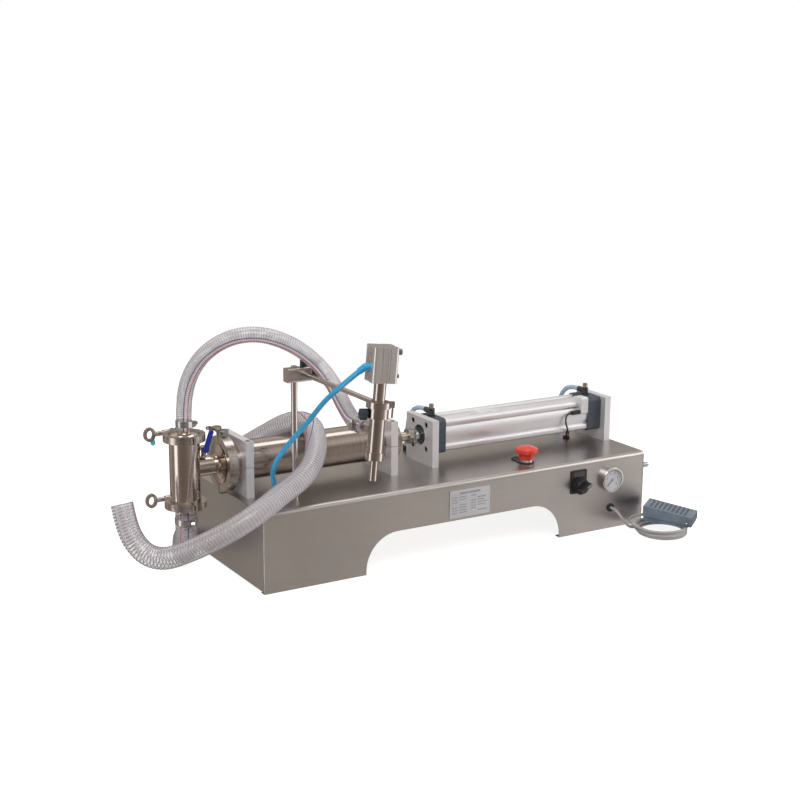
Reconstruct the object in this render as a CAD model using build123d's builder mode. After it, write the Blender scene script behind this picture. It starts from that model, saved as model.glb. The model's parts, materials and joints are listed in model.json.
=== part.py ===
from build123d import *
import os
from math import cos, pi, radians, sin, tan

# Piston liquid filler: X runs along the machine, Y points away from the operator, Z is up.
# The origin is the middle of the cabinet's footprint, on the bench.

# ---------------------------------------------------------------- driving dimensions (mm)
CAB_L, CAB_D, CAB_H = 741.0, 265.0, 130.0
SHEET = 1.5
BEND_R = 8.0
FLANGE = 11.0
ARCH_W, ARCH_H, ARCH_R = 381.0, 64.5, 58.0
CONTROL_HOLE_R, GAUGE_BODY_R, GROMMET_R = 11.0, 19.0, 6.0
BULKHEAD_R, SENSOR_GLAND_R, INLET_HOLE_R = 4.5, 4.0, 6.5

AXIS_Z = 179.0
STROKE = 250.0

BARREL_R, BARREL_BORE_R = 32.0, 29.0
BARREL_LEFT, BARREL_RIGHT = -376.0, -65.0
BLOCK_W, BLOCK_T, BLOCK_TOP = 96.0, 13.0, 221.0
BLOCK_LEFT_X, BLOCK_RIGHT_X = -351.5, -89.5
SPLIT_GAP = 0.8
SCREW_R, SCREW_HEAD_R, SCREW_HEAD_H = 2.5, 4.5, 5.0
GASKET_T = 1.0

PLATE_W, PLATE_T, PLATE_TOP = 85.0, 12.5, 211.0
PLATE_FRONT_X, PLATE_REAR_X = -PLATE_T / 2, 359.0
CAP_SIZE = 60.0
CAP_FRONT_T, CAP_REAR_T = 22.0, 28.0
PROFILE_START = CAP_FRONT_T
PROFILE_END = PLATE_REAR_X - PLATE_T / 2 - CAP_REAR_T
AIR_BORE_R = 25.0
ROD_R = 8.0
BOLT_PITCH = 42.0

VALVE_X = -441.0
VALVE_R, VALVE_BORE_R = 24.0, 21.0
VALVE_TOP, VALVE_BOTTOM = 230.0, 122.5
FERRULE_R = 27.0
CLAMP_R, CLAMP_W = 33.0, 11.0
BIG_FLANGE_X, BIG_FLANGE_R, BIG_CLAMP_R, BIG_CLAMP_W = -376.5, 38.0, 45.0, 15.0
BRANCH_R, BRANCH_BORE_R = 16.0, 13.0
BALL_R, BALL_SEAT_R = 9.5, 7.5

SUCTION_D, OUTLET_D, AIR_TUBE_D, SUPPLY_D = 34.0, 24.0, 8.0, 8.0
PEDAL_CABLE_D, SENSOR_CABLE_D = 5.0, 3.0

POST_X, POST_Y, POST_R, POST_TOP = -290.0, -80.0, 5.0, 342.0
ARM_X, ARM_Z, ARM_R = -273.5, 328.0, 4.0
HEAD_X, HEAD_Y, HEAD_Z = -270.0, -305.0, 318.0
HEAD_LEAN, HEAD_TURN = 5.0, 10.0

ESTOP_X, ESTOP_Y = 147.0, -91.0
SELECTOR_X, SELECTOR_Z = 229.0, 88.0
GAUGE_X, GAUGE_Z, GAUGE_R = 297.5, 90.0, 22.0
GROMMET_X, GROMMET_Z = 300.0, 37.5
INLET_Y, INLET_Z = -105.0, 95.0
SENSOR_GLAND = (306.0, 8.0)
SUPPLY_HOLES = ((11.0, 80.0), (339.0, 80.0))
AIR_TUBE_HOLE = (-321.0, -74.0)

COIL_X, COIL_Y, COIL_R, COIL_SECTION = 362.0, -198.0, 43.0, 16.0
PEDAL_L, PEDAL_W = 84.0, 50.0

FRONT = -CAB_D / 2
LEFT, RIGHT = -CAB_L / 2, CAB_L / 2

lean, turn = radians(HEAD_LEAN), radians(HEAD_TURN)
HEAD = Plane(
    origin=(HEAD_X, HEAD_Y, HEAD_Z),
    x_dir=(cos(turn) * cos(lean), -sin(turn), -cos(turn) * sin(lean)),
    z_dir=(sin(lean), 0, cos(lean)),
)
PEDAL = Plane(origin=(385.0, -193.0, COIL_SECTION), x_dir=(0.61, -0.79, 0), z_dir=(0, 0, 1))

os.makedirs("parts", exist_ok=True)


def save(part, label):
    """Name a finished piece and write it to its own file."""
    part.label = label
    export_step(part, f"parts/{label}.step")


def across(x):
    """A plane square to the machine's axis at x, its origin on that axis."""
    return Plane(origin=(x, 0, AXIS_Z), x_dir=(0, 1, 0), z_dir=(1, 0, 0))


def tube_radii(points):
    """The arc at each inner corner of a hose route: gentle, and clear of its neighbours."""
    radii = []
    for before, corner, after in zip(points, points[1:], points[2:]):
        run_in = Vector(*corner) - Vector(*before)
        run_out = Vector(*after) - Vector(*corner)
        angle = radians(run_in.get_angle(run_out))
        radii.append(0.45 * min(run_in.length, run_out.length) / tan(angle / 2))
    return radii


def hose(points, diameter, label):
    """A plain round tube along its route, face to face with what holds its ends."""
    radii = tube_radii(points)
    with BuildPart() as tube:
        with BuildLine() as route:
            FilletPolyline(*points, radius=radii)
        with BuildSketch(Plane(origin=points[0], z_dir=Vector(*points[1]) - Vector(*points[0]))):
            Circle(diameter / 2)
        sweep(path=route.wire())
    length = route.wire().length
    print(label, "length", round(length, 1), "volume ratio",
          round(tube.part.volume / (pi * diameter**2 / 4 * length), 4),
          "radii", [round(r, 1) for r in radii])
    return tube.part


# ---------------------------------------------------------------- cabinet
with BuildPart() as cabinet_shell:
    with BuildSketch(Plane.YZ):
        Rectangle(CAB_D, CAB_H, align=(Align.CENTER, Align.MIN))
        fillet(vertices().group_by(Axis.Y)[-1], BEND_R)
    extrude(amount=CAB_L / 2, both=True)
    inner_w = CAB_D - 2 * SHEET
    with BuildSketch(Plane.YZ) as inside:
        with Locations((0, SHEET)):
            Rectangle(inner_w, CAB_H - 2 * SHEET, align=(Align.CENTER, Align.MIN))
        fillet(vertices().group_by(Axis.Y)[-1], BEND_R - SHEET)
        Rectangle(CAB_D - 2 * FLANGE, 4 * SHEET, align=(Align.CENTER, Align.CENTER))
    extrude(amount=CAB_L, both=True, mode=Mode.SUBTRACT)
    with BuildSketch(Plane.XZ):
        with Locations((0, -ARCH_H)):
            Rectangle(ARCH_W, 2 * ARCH_H, align=(Align.CENTER, Align.MIN))
        fillet(vertices().group_by(Axis.Y)[-1], ARCH_R)
    extrude(amount=CAB_D, both=True, mode=Mode.SUBTRACT)
    with BuildSketch(Plane.XZ.offset(-FRONT)):
        with Locations((SELECTOR_X, SELECTOR_Z)):
            Circle(CONTROL_HOLE_R)
        with Locations((GAUGE_X, GAUGE_Z)):
            Circle(GAUGE_BODY_R)
        with Locations((GROMMET_X, GROMMET_Z)):
            Circle(GROMMET_R)
    extrude(amount=-2 * SHEET, mode=Mode.SUBTRACT)
    with BuildSketch(Plane.XY.offset(CAB_H)):
        with Locations((ESTOP_X, ESTOP_Y)):
            Circle(CONTROL_HOLE_R)
        with Locations(AIR_TUBE_HOLE, *SUPPLY_HOLES):
            Circle(BULKHEAD_R)
        with Locations(SENSOR_GLAND):
            Circle(SENSOR_GLAND_R)
    extrude(amount=-2 * SHEET, mode=Mode.SUBTRACT)
save(cabinet_shell.part, "cabinet_shell")

with BuildPart() as cabinet_ends:
    for face_x in (LEFT, RIGHT - SHEET):
        with BuildSketch(Plane.YZ.offset(face_x)):
            with Locations((0, 2 * SHEET)):
                Rectangle(inner_w, CAB_H - 3 * SHEET, align=(Align.CENTER, Align.MIN))
            fillet(vertices().group_by(Axis.Y)[-1], BEND_R - SHEET)
        extrude(amount=SHEET)
    with BuildSketch(Plane.YZ.offset(RIGHT)):
        with Locations((INLET_Y, INLET_Z)):
            Circle(INLET_HOLE_R)
    extrude(amount=-2 * SHEET, mode=Mode.SUBTRACT)
save(cabinet_ends.part, "cabinet_ends")

NAMEPLATE_X, NAMEPLATE_Z = 4.5, 92.5
with BuildPart() as nameplate:
    with BuildSketch(Plane.XZ.offset(-FRONT)):
        with Locations((NAMEPLATE_X, NAMEPLATE_Z)):
            RectangleRounded(79, 47, 1.5)
    extrude(amount=0.8)
save(nameplate.part, "nameplate")

# ---------------------------------------------------------------- split blocks that hold the barrel
SCREW_Y = 40.0
COUNTERBORE = SCREW_HEAD_H + 0.5


def block_section(lower):
    """One half of a split block, seen along the machine's axis, with its half of the bore."""
    height = AXIS_Z - SPLIT_GAP / 2 - CAB_H if lower else BLOCK_TOP - AXIS_Z - SPLIT_GAP / 2
    middle = -(height + SPLIT_GAP) / 2 if lower else (height + SPLIT_GAP) / 2
    with Locations((0, middle)):
        Rectangle(BLOCK_W, height)
    Circle(BARREL_R, mode=Mode.SUBTRACT)


with BuildPart() as block_lowers:
    for block_x in (BLOCK_LEFT_X, BLOCK_RIGHT_X):
        with BuildSketch(across(block_x)):
            block_section(lower=True)
        extrude(amount=BLOCK_T / 2, both=True)
    with Locations(*[(x, y, AXIS_Z) for x in (BLOCK_LEFT_X, BLOCK_RIGHT_X) for y in (-SCREW_Y, SCREW_Y)]):
        Hole(SCREW_R, depth=26)
save(block_lowers.part, "block_lowers")

with BuildPart() as block_uppers:
    for block_x in (BLOCK_LEFT_X, BLOCK_RIGHT_X):
        with BuildSketch(across(block_x)):
            block_section(lower=False)
        extrude(amount=BLOCK_T / 2, both=True)
    with Locations(*[(x, y, BLOCK_TOP) for x in (BLOCK_LEFT_X, BLOCK_RIGHT_X) for y in (-SCREW_Y, SCREW_Y)]):
        CounterBoreHole(radius=SCREW_R, counter_bore_radius=SCREW_HEAD_R, counter_bore_depth=COUNTERBORE)
save(block_uppers.part, "block_uppers")

with BuildPart() as block_screws:
    for block_x in (BLOCK_LEFT_X, BLOCK_RIGHT_X):
        for screw_y in (-SCREW_Y, SCREW_Y):
            with BuildSketch(Plane.XY.offset(BLOCK_TOP - COUNTERBORE)):
                with Locations((block_x, screw_y)):
                    Circle(SCREW_HEAD_R)
                    RegularPolygon(2.2, 6, mode=Mode.SUBTRACT)
            extrude(amount=SCREW_HEAD_H)
            with BuildSketch(Plane.XY.offset(BLOCK_TOP - COUNTERBORE)):
                with Locations((block_x, screw_y)):
                    Circle(SCREW_R)
            extrude(amount=-(BLOCK_TOP - COUNTERBORE - AXIS_Z + 24))

# ---------------------------------------------------------------- product barrel
FLANGE_T = 5.5
with BuildPart() as barrel:
    with BuildSketch(Plane.XZ):
        with BuildLine():
            Polyline(
                (BARREL_LEFT, AXIS_Z + BARREL_BORE_R),
                (BARREL_LEFT, AXIS_Z + BIG_FLANGE_R),
                (BARREL_LEFT + FLANGE_T, AXIS_Z + BIG_FLANGE_R),
                (BARREL_LEFT + FLANGE_T, AXIS_Z + BARREL_R),
                (BARREL_RIGHT, AXIS_Z + BARREL_R),
                (BARREL_RIGHT, AXIS_Z + BARREL_BORE_R),
                close=True,
            )
        make_face()
    revolve(axis=Axis((0, 0, AXIS_Z), (1, 0, 0)))
    chamfer(edges().group_by(Axis.X)[-1].sort_by(SortBy.RADIUS)[-1], 1)
save(barrel.part, "barrel")

with BuildPart() as gaskets:
    with BuildSketch(across(BARREL_LEFT - GASKET_T)):
        Circle(BIG_FLANGE_R - 2)
        Circle(BARREL_BORE_R, mode=Mode.SUBTRACT)
    extrude(amount=GASKET_T)
    for level in (VALVE_TOP - 0.25, VALVE_BOTTOM - 0.25):
        with BuildSketch(Plane.XY.offset(level)):
            with Locations((VALVE_X, 0)):
                Circle(FERRULE_R - 1)
                Circle(VALVE_BORE_R, mode=Mode.SUBTRACT)
        extrude(amount=0.5)
    with BuildSketch(across(-9)):
        Circle(13)
        Circle(ROD_R + 0.05, mode=Mode.SUBTRACT)
    extrude(amount=-2)
save(gaskets.part, "gaskets")

# ---------------------------------------------------------------- three-way valve body
FERRULE_T = 3.0
SEAT_Z = 194.0
VENT_X, VENT_Z = -409.0, 207.0
with BuildPart() as valve_body:
    with BuildSketch(Plane.XY.offset(VALVE_BOTTOM + 0.25)):
        with Locations((VALVE_X, 0)):
            Circle(VALVE_R)
    extrude(amount=VALVE_TOP - VALVE_BOTTOM - 0.5)
    for level in (VALVE_BOTTOM + 0.25, VALVE_TOP - 0.25 - FERRULE_T):
        with BuildSketch(Plane.XY.offset(level)):
            with Locations((VALVE_X, 0)):
                Circle(FERRULE_R)
        extrude(amount=FERRULE_T)
    with BuildSketch(Plane.XZ):
        with BuildLine():
            Polyline(
                (VALVE_X, AXIS_Z),
                (VALVE_X, AXIS_Z + BRANCH_R),
                (-390, AXIS_Z + BRANCH_R),
                (-388, AXIS_Z + 20),
                (-385, AXIS_Z + 32),
                (BARREL_LEFT - GASKET_T - FLANGE_T, AXIS_Z + 32),
                (BARREL_LEFT - GASKET_T - FLANGE_T, AXIS_Z + BIG_FLANGE_R),
                (BARREL_LEFT - GASKET_T, AXIS_Z + BIG_FLANGE_R),
                (BARREL_LEFT - GASKET_T, AXIS_Z),
                close=True,
            )
        make_face()
    revolve(axis=Axis((0, 0, AXIS_Z), (1, 0, 0)))
    with BuildSketch(Plane.XZ):
        with BuildLine():
            Polyline(
                (VALVE_X, AXIS_Z),
                (VALVE_X, AXIS_Z + BRANCH_BORE_R),
                (-387, AXIS_Z + BRANCH_BORE_R),
                (-384, AXIS_Z + 17),
                (-380, AXIS_Z + BARREL_BORE_R),
                (BARREL_LEFT, AXIS_Z + BARREL_BORE_R),
                (BARREL_LEFT, AXIS_Z),
                close=True,
            )
        make_face()
    revolve(axis=Axis((0, 0, AXIS_Z), (1, 0, 0)), mode=Mode.SUBTRACT)
    with BuildSketch(Plane.XY.offset(VALVE_BOTTOM)):
        with Locations((VALVE_X, 0)):
            Circle(VALVE_BORE_R)
    extrude(amount=VALVE_TOP - VALVE_BOTTOM, mode=Mode.SUBTRACT)
    with BuildSketch(Plane.XY.offset(SEAT_Z)):
        with Locations((VALVE_X, 0)):
            Circle(VALVE_BORE_R + 1)
            Circle(BALL_SEAT_R, mode=Mode.SUBTRACT)
    extrude(amount=3)
    with BuildSketch(Plane.XY.offset(AXIS_Z + BRANCH_R - 2)):
        with Locations((VENT_X, 0)):
            Circle(4)
    extrude(amount=VENT_Z - AXIS_Z - BRANCH_R + 2)
    with BuildSketch(Plane.XZ.offset(-5)):
        with Locations((VENT_X, VENT_Z)):
            Circle(5)
    extrude(amount=12)
save(valve_body.part, "valve_body")

LEVER_ANGLE, LEVER_L, LEVER_W = 70.0, 29.0, 7.5
lever_tip = (VENT_X + LEVER_L * cos(radians(LEVER_ANGLE)), VENT_Z + LEVER_L * sin(radians(LEVER_ANGLE)))
with BuildPart() as vent_lever:
    with BuildSketch(Plane.XZ.offset(7)):
        with Locations((VENT_X, VENT_Z)):
            Circle(5.5)
        with Locations(Location((VENT_X, VENT_Z), LEVER_ANGLE)):
            Rectangle(LEVER_L, LEVER_W, align=(Align.MIN, Align.CENTER))
        with Locations(lever_tip):
            Circle(LEVER_W / 2)
    extrude(amount=4)
    fillet(edges().group_by(Axis.Y)[0], 1)
save(vent_lever.part, "vent_lever")


# ---------------------------------------------------------------- hygienic clamps
LUG_H = 9.0
CLAMP_BOLT_R = 2.5
NUT_SEAT_X = 6.5
NUT_L = 28.0
LOOP_X, LOOP_THICK = 35.5, 2.6
BIG_WINGS = 26.0


def clamp_halves(outer_r, flange_r, width, stack, neck_r):
    """Both halves of a grooved clamp round Z, each with a lug at +Y for the cross bolt."""
    with BuildPart() as halves:
        for side in (-1, 1):
            with BuildSketch(Plane.XY.offset(-width / 2)):
                Circle(outer_r)
                with Locations((side * 4, outer_r)):
                    Rectangle(5, 2 * LUG_H)
                with Locations((0, -outer_r)):
                    Rectangle(9, 8)
                with Locations((-side * (outer_r + 19), 0)):
                    Rectangle(2 * (outer_r + 20), 4 * outer_r, mode=Mode.SUBTRACT)
                Circle(neck_r, mode=Mode.SUBTRACT)
            extrude(amount=width)
        with BuildSketch(Plane.XY.offset(-stack / 2)):
            Circle(flange_r)
        extrude(amount=stack, mode=Mode.SUBTRACT)
        with BuildSketch(Plane.YZ):
            with Locations((outer_r + LUG_H / 2 + 0.5, 0)):
                Circle(CLAMP_BOLT_R + 0.1)
        extrude(amount=20, both=True, mode=Mode.SUBTRACT)
    return halves.part


def cross_bolt(reach):
    """A clamp bolt along X through both lugs, its head against the far lug."""
    with BuildPart() as bolt:
        with BuildSketch(Plane.YZ.offset(NUT_SEAT_X)):
            RegularPolygon(4.6, 6)
        extrude(amount=4)
        with BuildSketch(Plane.YZ.offset(NUT_SEAT_X)):
            Circle(CLAMP_BOLT_R)
        extrude(amount=-reach)
    return bolt.part


def loop_nut():
    """A nut round X with a neck and one large flat loop to turn it by, its seat at x = 0."""
    with BuildPart() as nut:
        with BuildSketch(Plane.YZ):
            Circle(5)
        extrude(amount=-13)
        with BuildSketch(Plane.YZ):
            Circle(3.8)
        extrude(amount=7.5 - LOOP_X)
        with BuildSketch(Plane.XZ):
            with Locations((-LOOP_X, 0)):
                Ellipse(9.5, 11.5)
                Ellipse(5, 7, mode=Mode.SUBTRACT)
        extrude(amount=LOOP_THICK, both=True)
        with BuildSketch(Plane.YZ.offset(1)):
            Circle(CLAMP_BOLT_R + 0.1)
        extrude(amount=-24, mode=Mode.SUBTRACT)
    return nut.part


def wing_nut(span):
    """A two-winged nut round X with looped wings, its seat at x = 0."""
    with BuildPart() as nut:
        with BuildSketch(Plane.YZ):
            Circle(5)
        extrude(amount=-NUT_L, taper=3)
        with BuildSketch(Plane.XZ):
            for side in (-1, 1):
                with Locations((1 - NUT_L, side * (span / 2 - 7.5))):
                    Ellipse(8, 7.5)
                    Ellipse(4.2, 3.8, mode=Mode.SUBTRACT)
        extrude(amount=1.6, both=True)
        with BuildSketch(Plane.YZ.offset(1)):
            Circle(CLAMP_BOLT_R + 0.1)
        extrude(amount=-36, mode=Mode.SUBTRACT)
    return nut.part


CLAMP_STACK = 2 * FERRULE_T + 0.5
BIG_STACK = 2 * FLANGE_T + GASKET_T
small_clamp = clamp_halves(CLAMP_R, FERRULE_R, CLAMP_W, CLAMP_STACK, VALVE_R + 0.3)
big_clamp = clamp_halves(BIG_CLAMP_R, BIG_FLANGE_R, BIG_CLAMP_W, BIG_STACK, BARREL_R + 1.8)

TOP_CLAMP = Location((VALVE_X, 0, VALVE_TOP))
BOTTOM_CLAMP = Location((VALVE_X, 0, VALVE_BOTTOM))
END_CLAMP = Plane(origin=(BIG_FLANGE_X, 0, AXIS_Z), x_dir=(0, -1, 0), z_dir=(-1, 0, 0)).location

with BuildPart() as clamp_rings:
    add(small_clamp.moved(TOP_CLAMP))
    add(small_clamp.moved(BOTTOM_CLAMP))
    add(big_clamp.moved(END_CLAMP))
save(clamp_rings.part, "clamp_rings")

SMALL_BOLT = Location((0, CLAMP_R + LUG_H / 2 + 0.5, 0))
BIG_BOLT = Location((0, BIG_CLAMP_R + LUG_H / 2 + 0.5, 0))
small_bolt = cross_bolt(31)
with BuildPart() as clamp_bolts:
    add(small_bolt.moved(TOP_CLAMP * SMALL_BOLT))
    add(small_bolt.moved(BOTTOM_CLAMP * SMALL_BOLT))
    add(small_bolt.moved(END_CLAMP * BIG_BOLT))
save(clamp_bolts.part, "clamp_bolts")

NUT_SEAT = Location((-NUT_SEAT_X, 0, 0))
for place, bolt, nut, label in (
    (TOP_CLAMP, SMALL_BOLT, loop_nut(), "top_wing_nut"),
    (BOTTOM_CLAMP, SMALL_BOLT, loop_nut(), "bottom_wing_nut"),
    (END_CLAMP, BIG_BOLT, wing_nut(BIG_WINGS), "end_wing_nut"),
):
    save(nut.moved(place * bolt * NUT_SEAT), label)

# ---------------------------------------------------------------- hose barbs and check balls
BARB_TOP, BARB_BOTTOM = 240.0, 110.5
with BuildPart() as hose_barbs:
    with BuildSketch(Plane.XZ):
        with BuildLine():
            Polyline(
                (VALVE_X + 8, VALVE_TOP + 0.25),
                (VALVE_X + FERRULE_R, VALVE_TOP + 0.25),
                (VALVE_X + FERRULE_R, VALVE_TOP + 0.25 + FERRULE_T),
                (VALVE_X + VALVE_R, VALVE_TOP + 0.25 + FERRULE_T),
                (VALVE_X + 20, VALVE_TOP + 0.25 + FERRULE_T + 3),
                (VALVE_X + 12, VALVE_TOP + 8),
                (VALVE_X + 12, BARB_TOP),
                (VALVE_X + 8, BARB_TOP),
                close=True,
            )
        make_face()
        with BuildLine():
            Polyline(
                (VALVE_X + BALL_SEAT_R, VALVE_BOTTOM - 0.25),
                (VALVE_X + FERRULE_R, VALVE_BOTTOM - 0.25),
                (VALVE_X + FERRULE_R, VALVE_BOTTOM - 0.25 - FERRULE_T),
                (VALVE_X + VALVE_R, VALVE_BOTTOM - 0.25 - FERRULE_T),
                (VALVE_X + 21, VALVE_BOTTOM - 0.25 - FERRULE_T - 3),
                (VALVE_X + 17, VALVE_BOTTOM - 11),
                (VALVE_X + 17, BARB_BOTTOM),
                (VALVE_X + 12, BARB_BOTTOM),
                (VALVE_X + 12, VALVE_BOTTOM - 8),
                (VALVE_X + BALL_SEAT_R, VALVE_BOTTOM - 4),
                close=True,
            )
        make_face()
    revolve(axis=Axis((VALVE_X, 0, 0), (0, 0, 1)))
save(hose_barbs.part, "hose_barbs")

BALL_SIT = (BALL_R**2 - BALL_SEAT_R**2) ** 0.5 + 0.05
for seat, label in ((VALVE_BOTTOM - 0.25, "inlet_ball"), (SEAT_Z + 3, "outlet_ball")):
    with BuildPart(Location((VALVE_X, 0, seat + BALL_SIT))) as check_ball:
        Sphere(BALL_R)
    save(check_ball.part, label)


def hose_band(radius, width=9.0):
    """A worm-drive band round Z, its screw housing tangent at -Y."""
    with BuildPart() as band:
        with BuildSketch():
            Circle(radius + 0.8)
            with Locations((0, -radius - 3.4)):
                Rectangle(12, 6)
            Circle(radius, mode=Mode.SUBTRACT)
        extrude(amount=width / 2, both=True)
        with BuildSketch(Plane.YZ.offset(6)):
            with Locations((-radius - 3.6, 0)):
                RegularPolygon(3.4, 6)
        extrude(amount=5)
    return band.part


BAND_GAP = 0.15
small_band = hose_band(OUTLET_D / 2 + BAND_GAP)
large_band = hose_band(SUCTION_D / 2 + BAND_GAP)

# ---------------------------------------------------------------- air cylinder
CAP_PORT_Z = AXIS_Z + CAP_SIZE / 2


def bolt_circle(radius, mode=Mode.SUBTRACT):
    """Four round holes or studs at the corners of the bolt square."""
    with Locations((0, AXIS_Z)):
        with GridLocations(BOLT_PITCH, BOLT_PITCH, 2, 2):
            Circle(radius, mode=mode)


with BuildPart() as cylinder_plates:
    for plate_x in (PLATE_FRONT_X, PLATE_REAR_X):
        with BuildSketch(Plane.YZ.offset(plate_x)):
            with Locations((0, (CAB_H + PLATE_TOP) / 2)):
                Rectangle(PLATE_W, PLATE_TOP - CAB_H)
            with Locations((0, AXIS_Z)):
                Circle(17.5, mode=Mode.SUBTRACT)
            bolt_circle(SCREW_R)
        extrude(amount=PLATE_T / 2, both=True)
    with BuildSketch(Plane.YZ.offset(-PLATE_T)):
        bolt_circle(5, Mode.ADD)
    extrude(amount=6, mode=Mode.SUBTRACT)
    chamfer(edges().group_by(Axis.Z)[-1].filter_by(Axis.Y), 0.8)
save(cylinder_plates.part, "cylinder_plates")

with BuildPart() as plate_screws:
    for head_x, way in ((-PLATE_T + 6, 1), (PLATE_REAR_X + PLATE_T / 2, -1)):
        with BuildSketch(Plane.YZ.offset(head_x)):
            bolt_circle(SCREW_HEAD_R, Mode.ADD)
        extrude(amount=-SCREW_HEAD_H * way)
        with BuildSketch(Plane.YZ.offset(head_x - SCREW_HEAD_H * way)):
            with Locations((0, AXIS_Z)):
                with GridLocations(BOLT_PITCH, BOLT_PITCH, 2, 2):
                    RegularPolygon(2.4, 6)
        extrude(amount=2.5 * way, mode=Mode.SUBTRACT)
        with BuildSketch(Plane.YZ.offset(head_x)):
            bolt_circle(SCREW_R, Mode.ADD)
        extrude(amount=24 * way)

with BuildPart() as frame_screws:
    add(block_screws.part)
    add(plate_screws.part)
save(frame_screws.part, "frame_screws")

with BuildPart() as air_caps:
    for start, thick in ((0, CAP_FRONT_T), (PROFILE_END, CAP_REAR_T)):
        with BuildSketch(Plane.YZ.offset(start)):
            with Locations((0, AXIS_Z)):
                RectangleRounded(CAP_SIZE, CAP_SIZE, 7)
            bolt_circle(SCREW_R)
        extrude(amount=thick)
    with BuildSketch(across(0)):
        Circle(16.8)
    extrude(amount=-9)
    with BuildSketch(across(-9)):
        Circle(ROD_R + 0.05)
    extrude(amount=9 + CAP_FRONT_T, mode=Mode.SUBTRACT)
    with Locations((11, 0, CAP_PORT_Z), (PLATE_REAR_X - PLATE_T / 2 - 14, 0, CAP_PORT_Z)):
        Hole(4, depth=12)
save(air_caps.part, "air_caps")

BELLY_R, RAIL_R = AIR_BORE_R + 3, 7.2
with BuildPart() as air_profile:
    with BuildSketch(Plane.YZ.offset(PROFILE_START)):
        with Locations((0, AXIS_Z)):
            Circle(BELLY_R)
        bolt_circle(RAIL_R, Mode.ADD)
        with Locations((0, AXIS_Z)):
            Circle(AIR_BORE_R, mode=Mode.SUBTRACT)
        bolt_circle(SCREW_R)
    extrude(amount=PROFILE_END - PROFILE_START)
save(air_profile.part, "air_profile")

SENSOR_X, SENSOR_L, SENSOR_Z = 305.0, 17.0, AXIS_Z + 8
with BuildPart() as sensor_bracket:
    with BuildSketch(Plane.YZ.offset(SENSOR_X)):
        with Locations((-23, AXIS_Z + 19)):
            RectangleRounded(24, 30, 4)
        with Locations((0, AXIS_Z)):
            Circle(BELLY_R, mode=Mode.SUBTRACT)
        bolt_circle(RAIL_R)
    extrude(amount=15)
save(sensor_bracket.part, "sensor_bracket")

with BuildPart() as reed_sensor:
    with BuildSketch(Plane.YZ.offset(SENSOR_X - SENSOR_L)):
        with Locations((-29.5, SENSOR_Z)):
            RectangleRounded(7, 7, 1.2)
        with Locations((0, AXIS_Z)):
            Circle(BELLY_R, mode=Mode.SUBTRACT)
    extrude(amount=SENSOR_L)
save(reed_sensor.part, "reed_sensor")

GLAND_H = 4.0
SENSOR_EXIT = (SENSOR_X - SENSOR_L, -30.5, SENSOR_Z)
SENSOR_ROUTE = [
    SENSOR_EXIT,
    (279, -30.5, 187),
    (273, -32, 181),
    (272, -34, 171),
    (276, -34.5, 160),
    (282, -29, 150),
    (289, -20, 145),
    (296, -11, 147),
    (303, 2, 149),
    (306, 8, 143),
    (306, 8, CAB_H + GLAND_H),
]
save(hose(SENSOR_ROUTE, SENSOR_CABLE_D, "sensor_cable"), "sensor_cable")

# ---------------------------------------------------------------- piston train, drawn back at rest
PISTON_HALF, PISTON_END_GAP = 12.5, 15.0
PISTON_X = BARREL_LEFT + PISTON_END_GAP + PISTON_HALF + STROKE
SEAL_STEP, SEAL_HALF, SEAL_ROOT_R, AIR_SEAL_ROOT_R = 5.5, 2.0, 25.5, 22.0
COUPLING_X = -32.0
with BuildPart() as product_piston:
    with BuildSketch(across(PISTON_X)):
        Circle(BARREL_BORE_R - 0.4)
    extrude(amount=PISTON_HALF, both=True)
    for groove in (PISTON_X - SEAL_STEP, PISTON_X + SEAL_STEP):
        with BuildSketch(across(groove)):
            Circle(BARREL_BORE_R)
            Circle(SEAL_ROOT_R, mode=Mode.SUBTRACT)
        extrude(amount=SEAL_HALF, both=True, mode=Mode.SUBTRACT)
    with BuildSketch(across(PISTON_X + PISTON_HALF)):
        Circle(ROD_R)
    extrude(amount=COUPLING_X - PISTON_X - PISTON_HALF)
save(product_piston.part, "product_piston")

AIR_PISTON_X = PROFILE_END - 14.0
with BuildPart() as piston_seals:
    for groove in (PISTON_X - SEAL_STEP, PISTON_X + SEAL_STEP):
        with BuildSketch(across(groove)):
            Circle(BARREL_BORE_R - 0.05)
            Circle(SEAL_ROOT_R, mode=Mode.SUBTRACT)
        extrude(amount=SEAL_HALF, both=True)
    with BuildSketch(across(AIR_PISTON_X)):
        Circle(AIR_BORE_R - 0.05)
        Circle(AIR_SEAL_ROOT_R, mode=Mode.SUBTRACT)
    extrude(amount=SEAL_HALF, both=True)
save(piston_seals.part, "piston_seals")

with BuildPart() as air_rod:
    with BuildSketch(across(COUPLING_X)):
        Circle(ROD_R)
    extrude(amount=AIR_PISTON_X - COUPLING_X)
    with BuildSketch(across(AIR_PISTON_X)):
        Circle(AIR_BORE_R - 0.4)
    extrude(amount=10, both=True)
    with BuildSketch(across(AIR_PISTON_X)):
        Circle(AIR_BORE_R)
        Circle(AIR_SEAL_ROOT_R, mode=Mode.SUBTRACT)
    extrude(amount=SEAL_HALF, both=True, mode=Mode.SUBTRACT)
save(air_rod.part, "air_rod")

with BuildPart() as coupling:
    with BuildSketch(across(COUPLING_X - 6)):
        RegularPolygon(13.5, 6)
        Circle(ROD_R, mode=Mode.SUBTRACT)
    extrude(amount=8)
    with BuildSketch(across(COUPLING_X + 2)):
        Circle(10.5)
        with Locations(Location((0, 0), 45), Location((0, 0), 135)):
            SlotOverall(31, 6)
        Circle(ROD_R, mode=Mode.SUBTRACT)
    extrude(amount=5)
save(coupling.part, "coupling")

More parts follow.
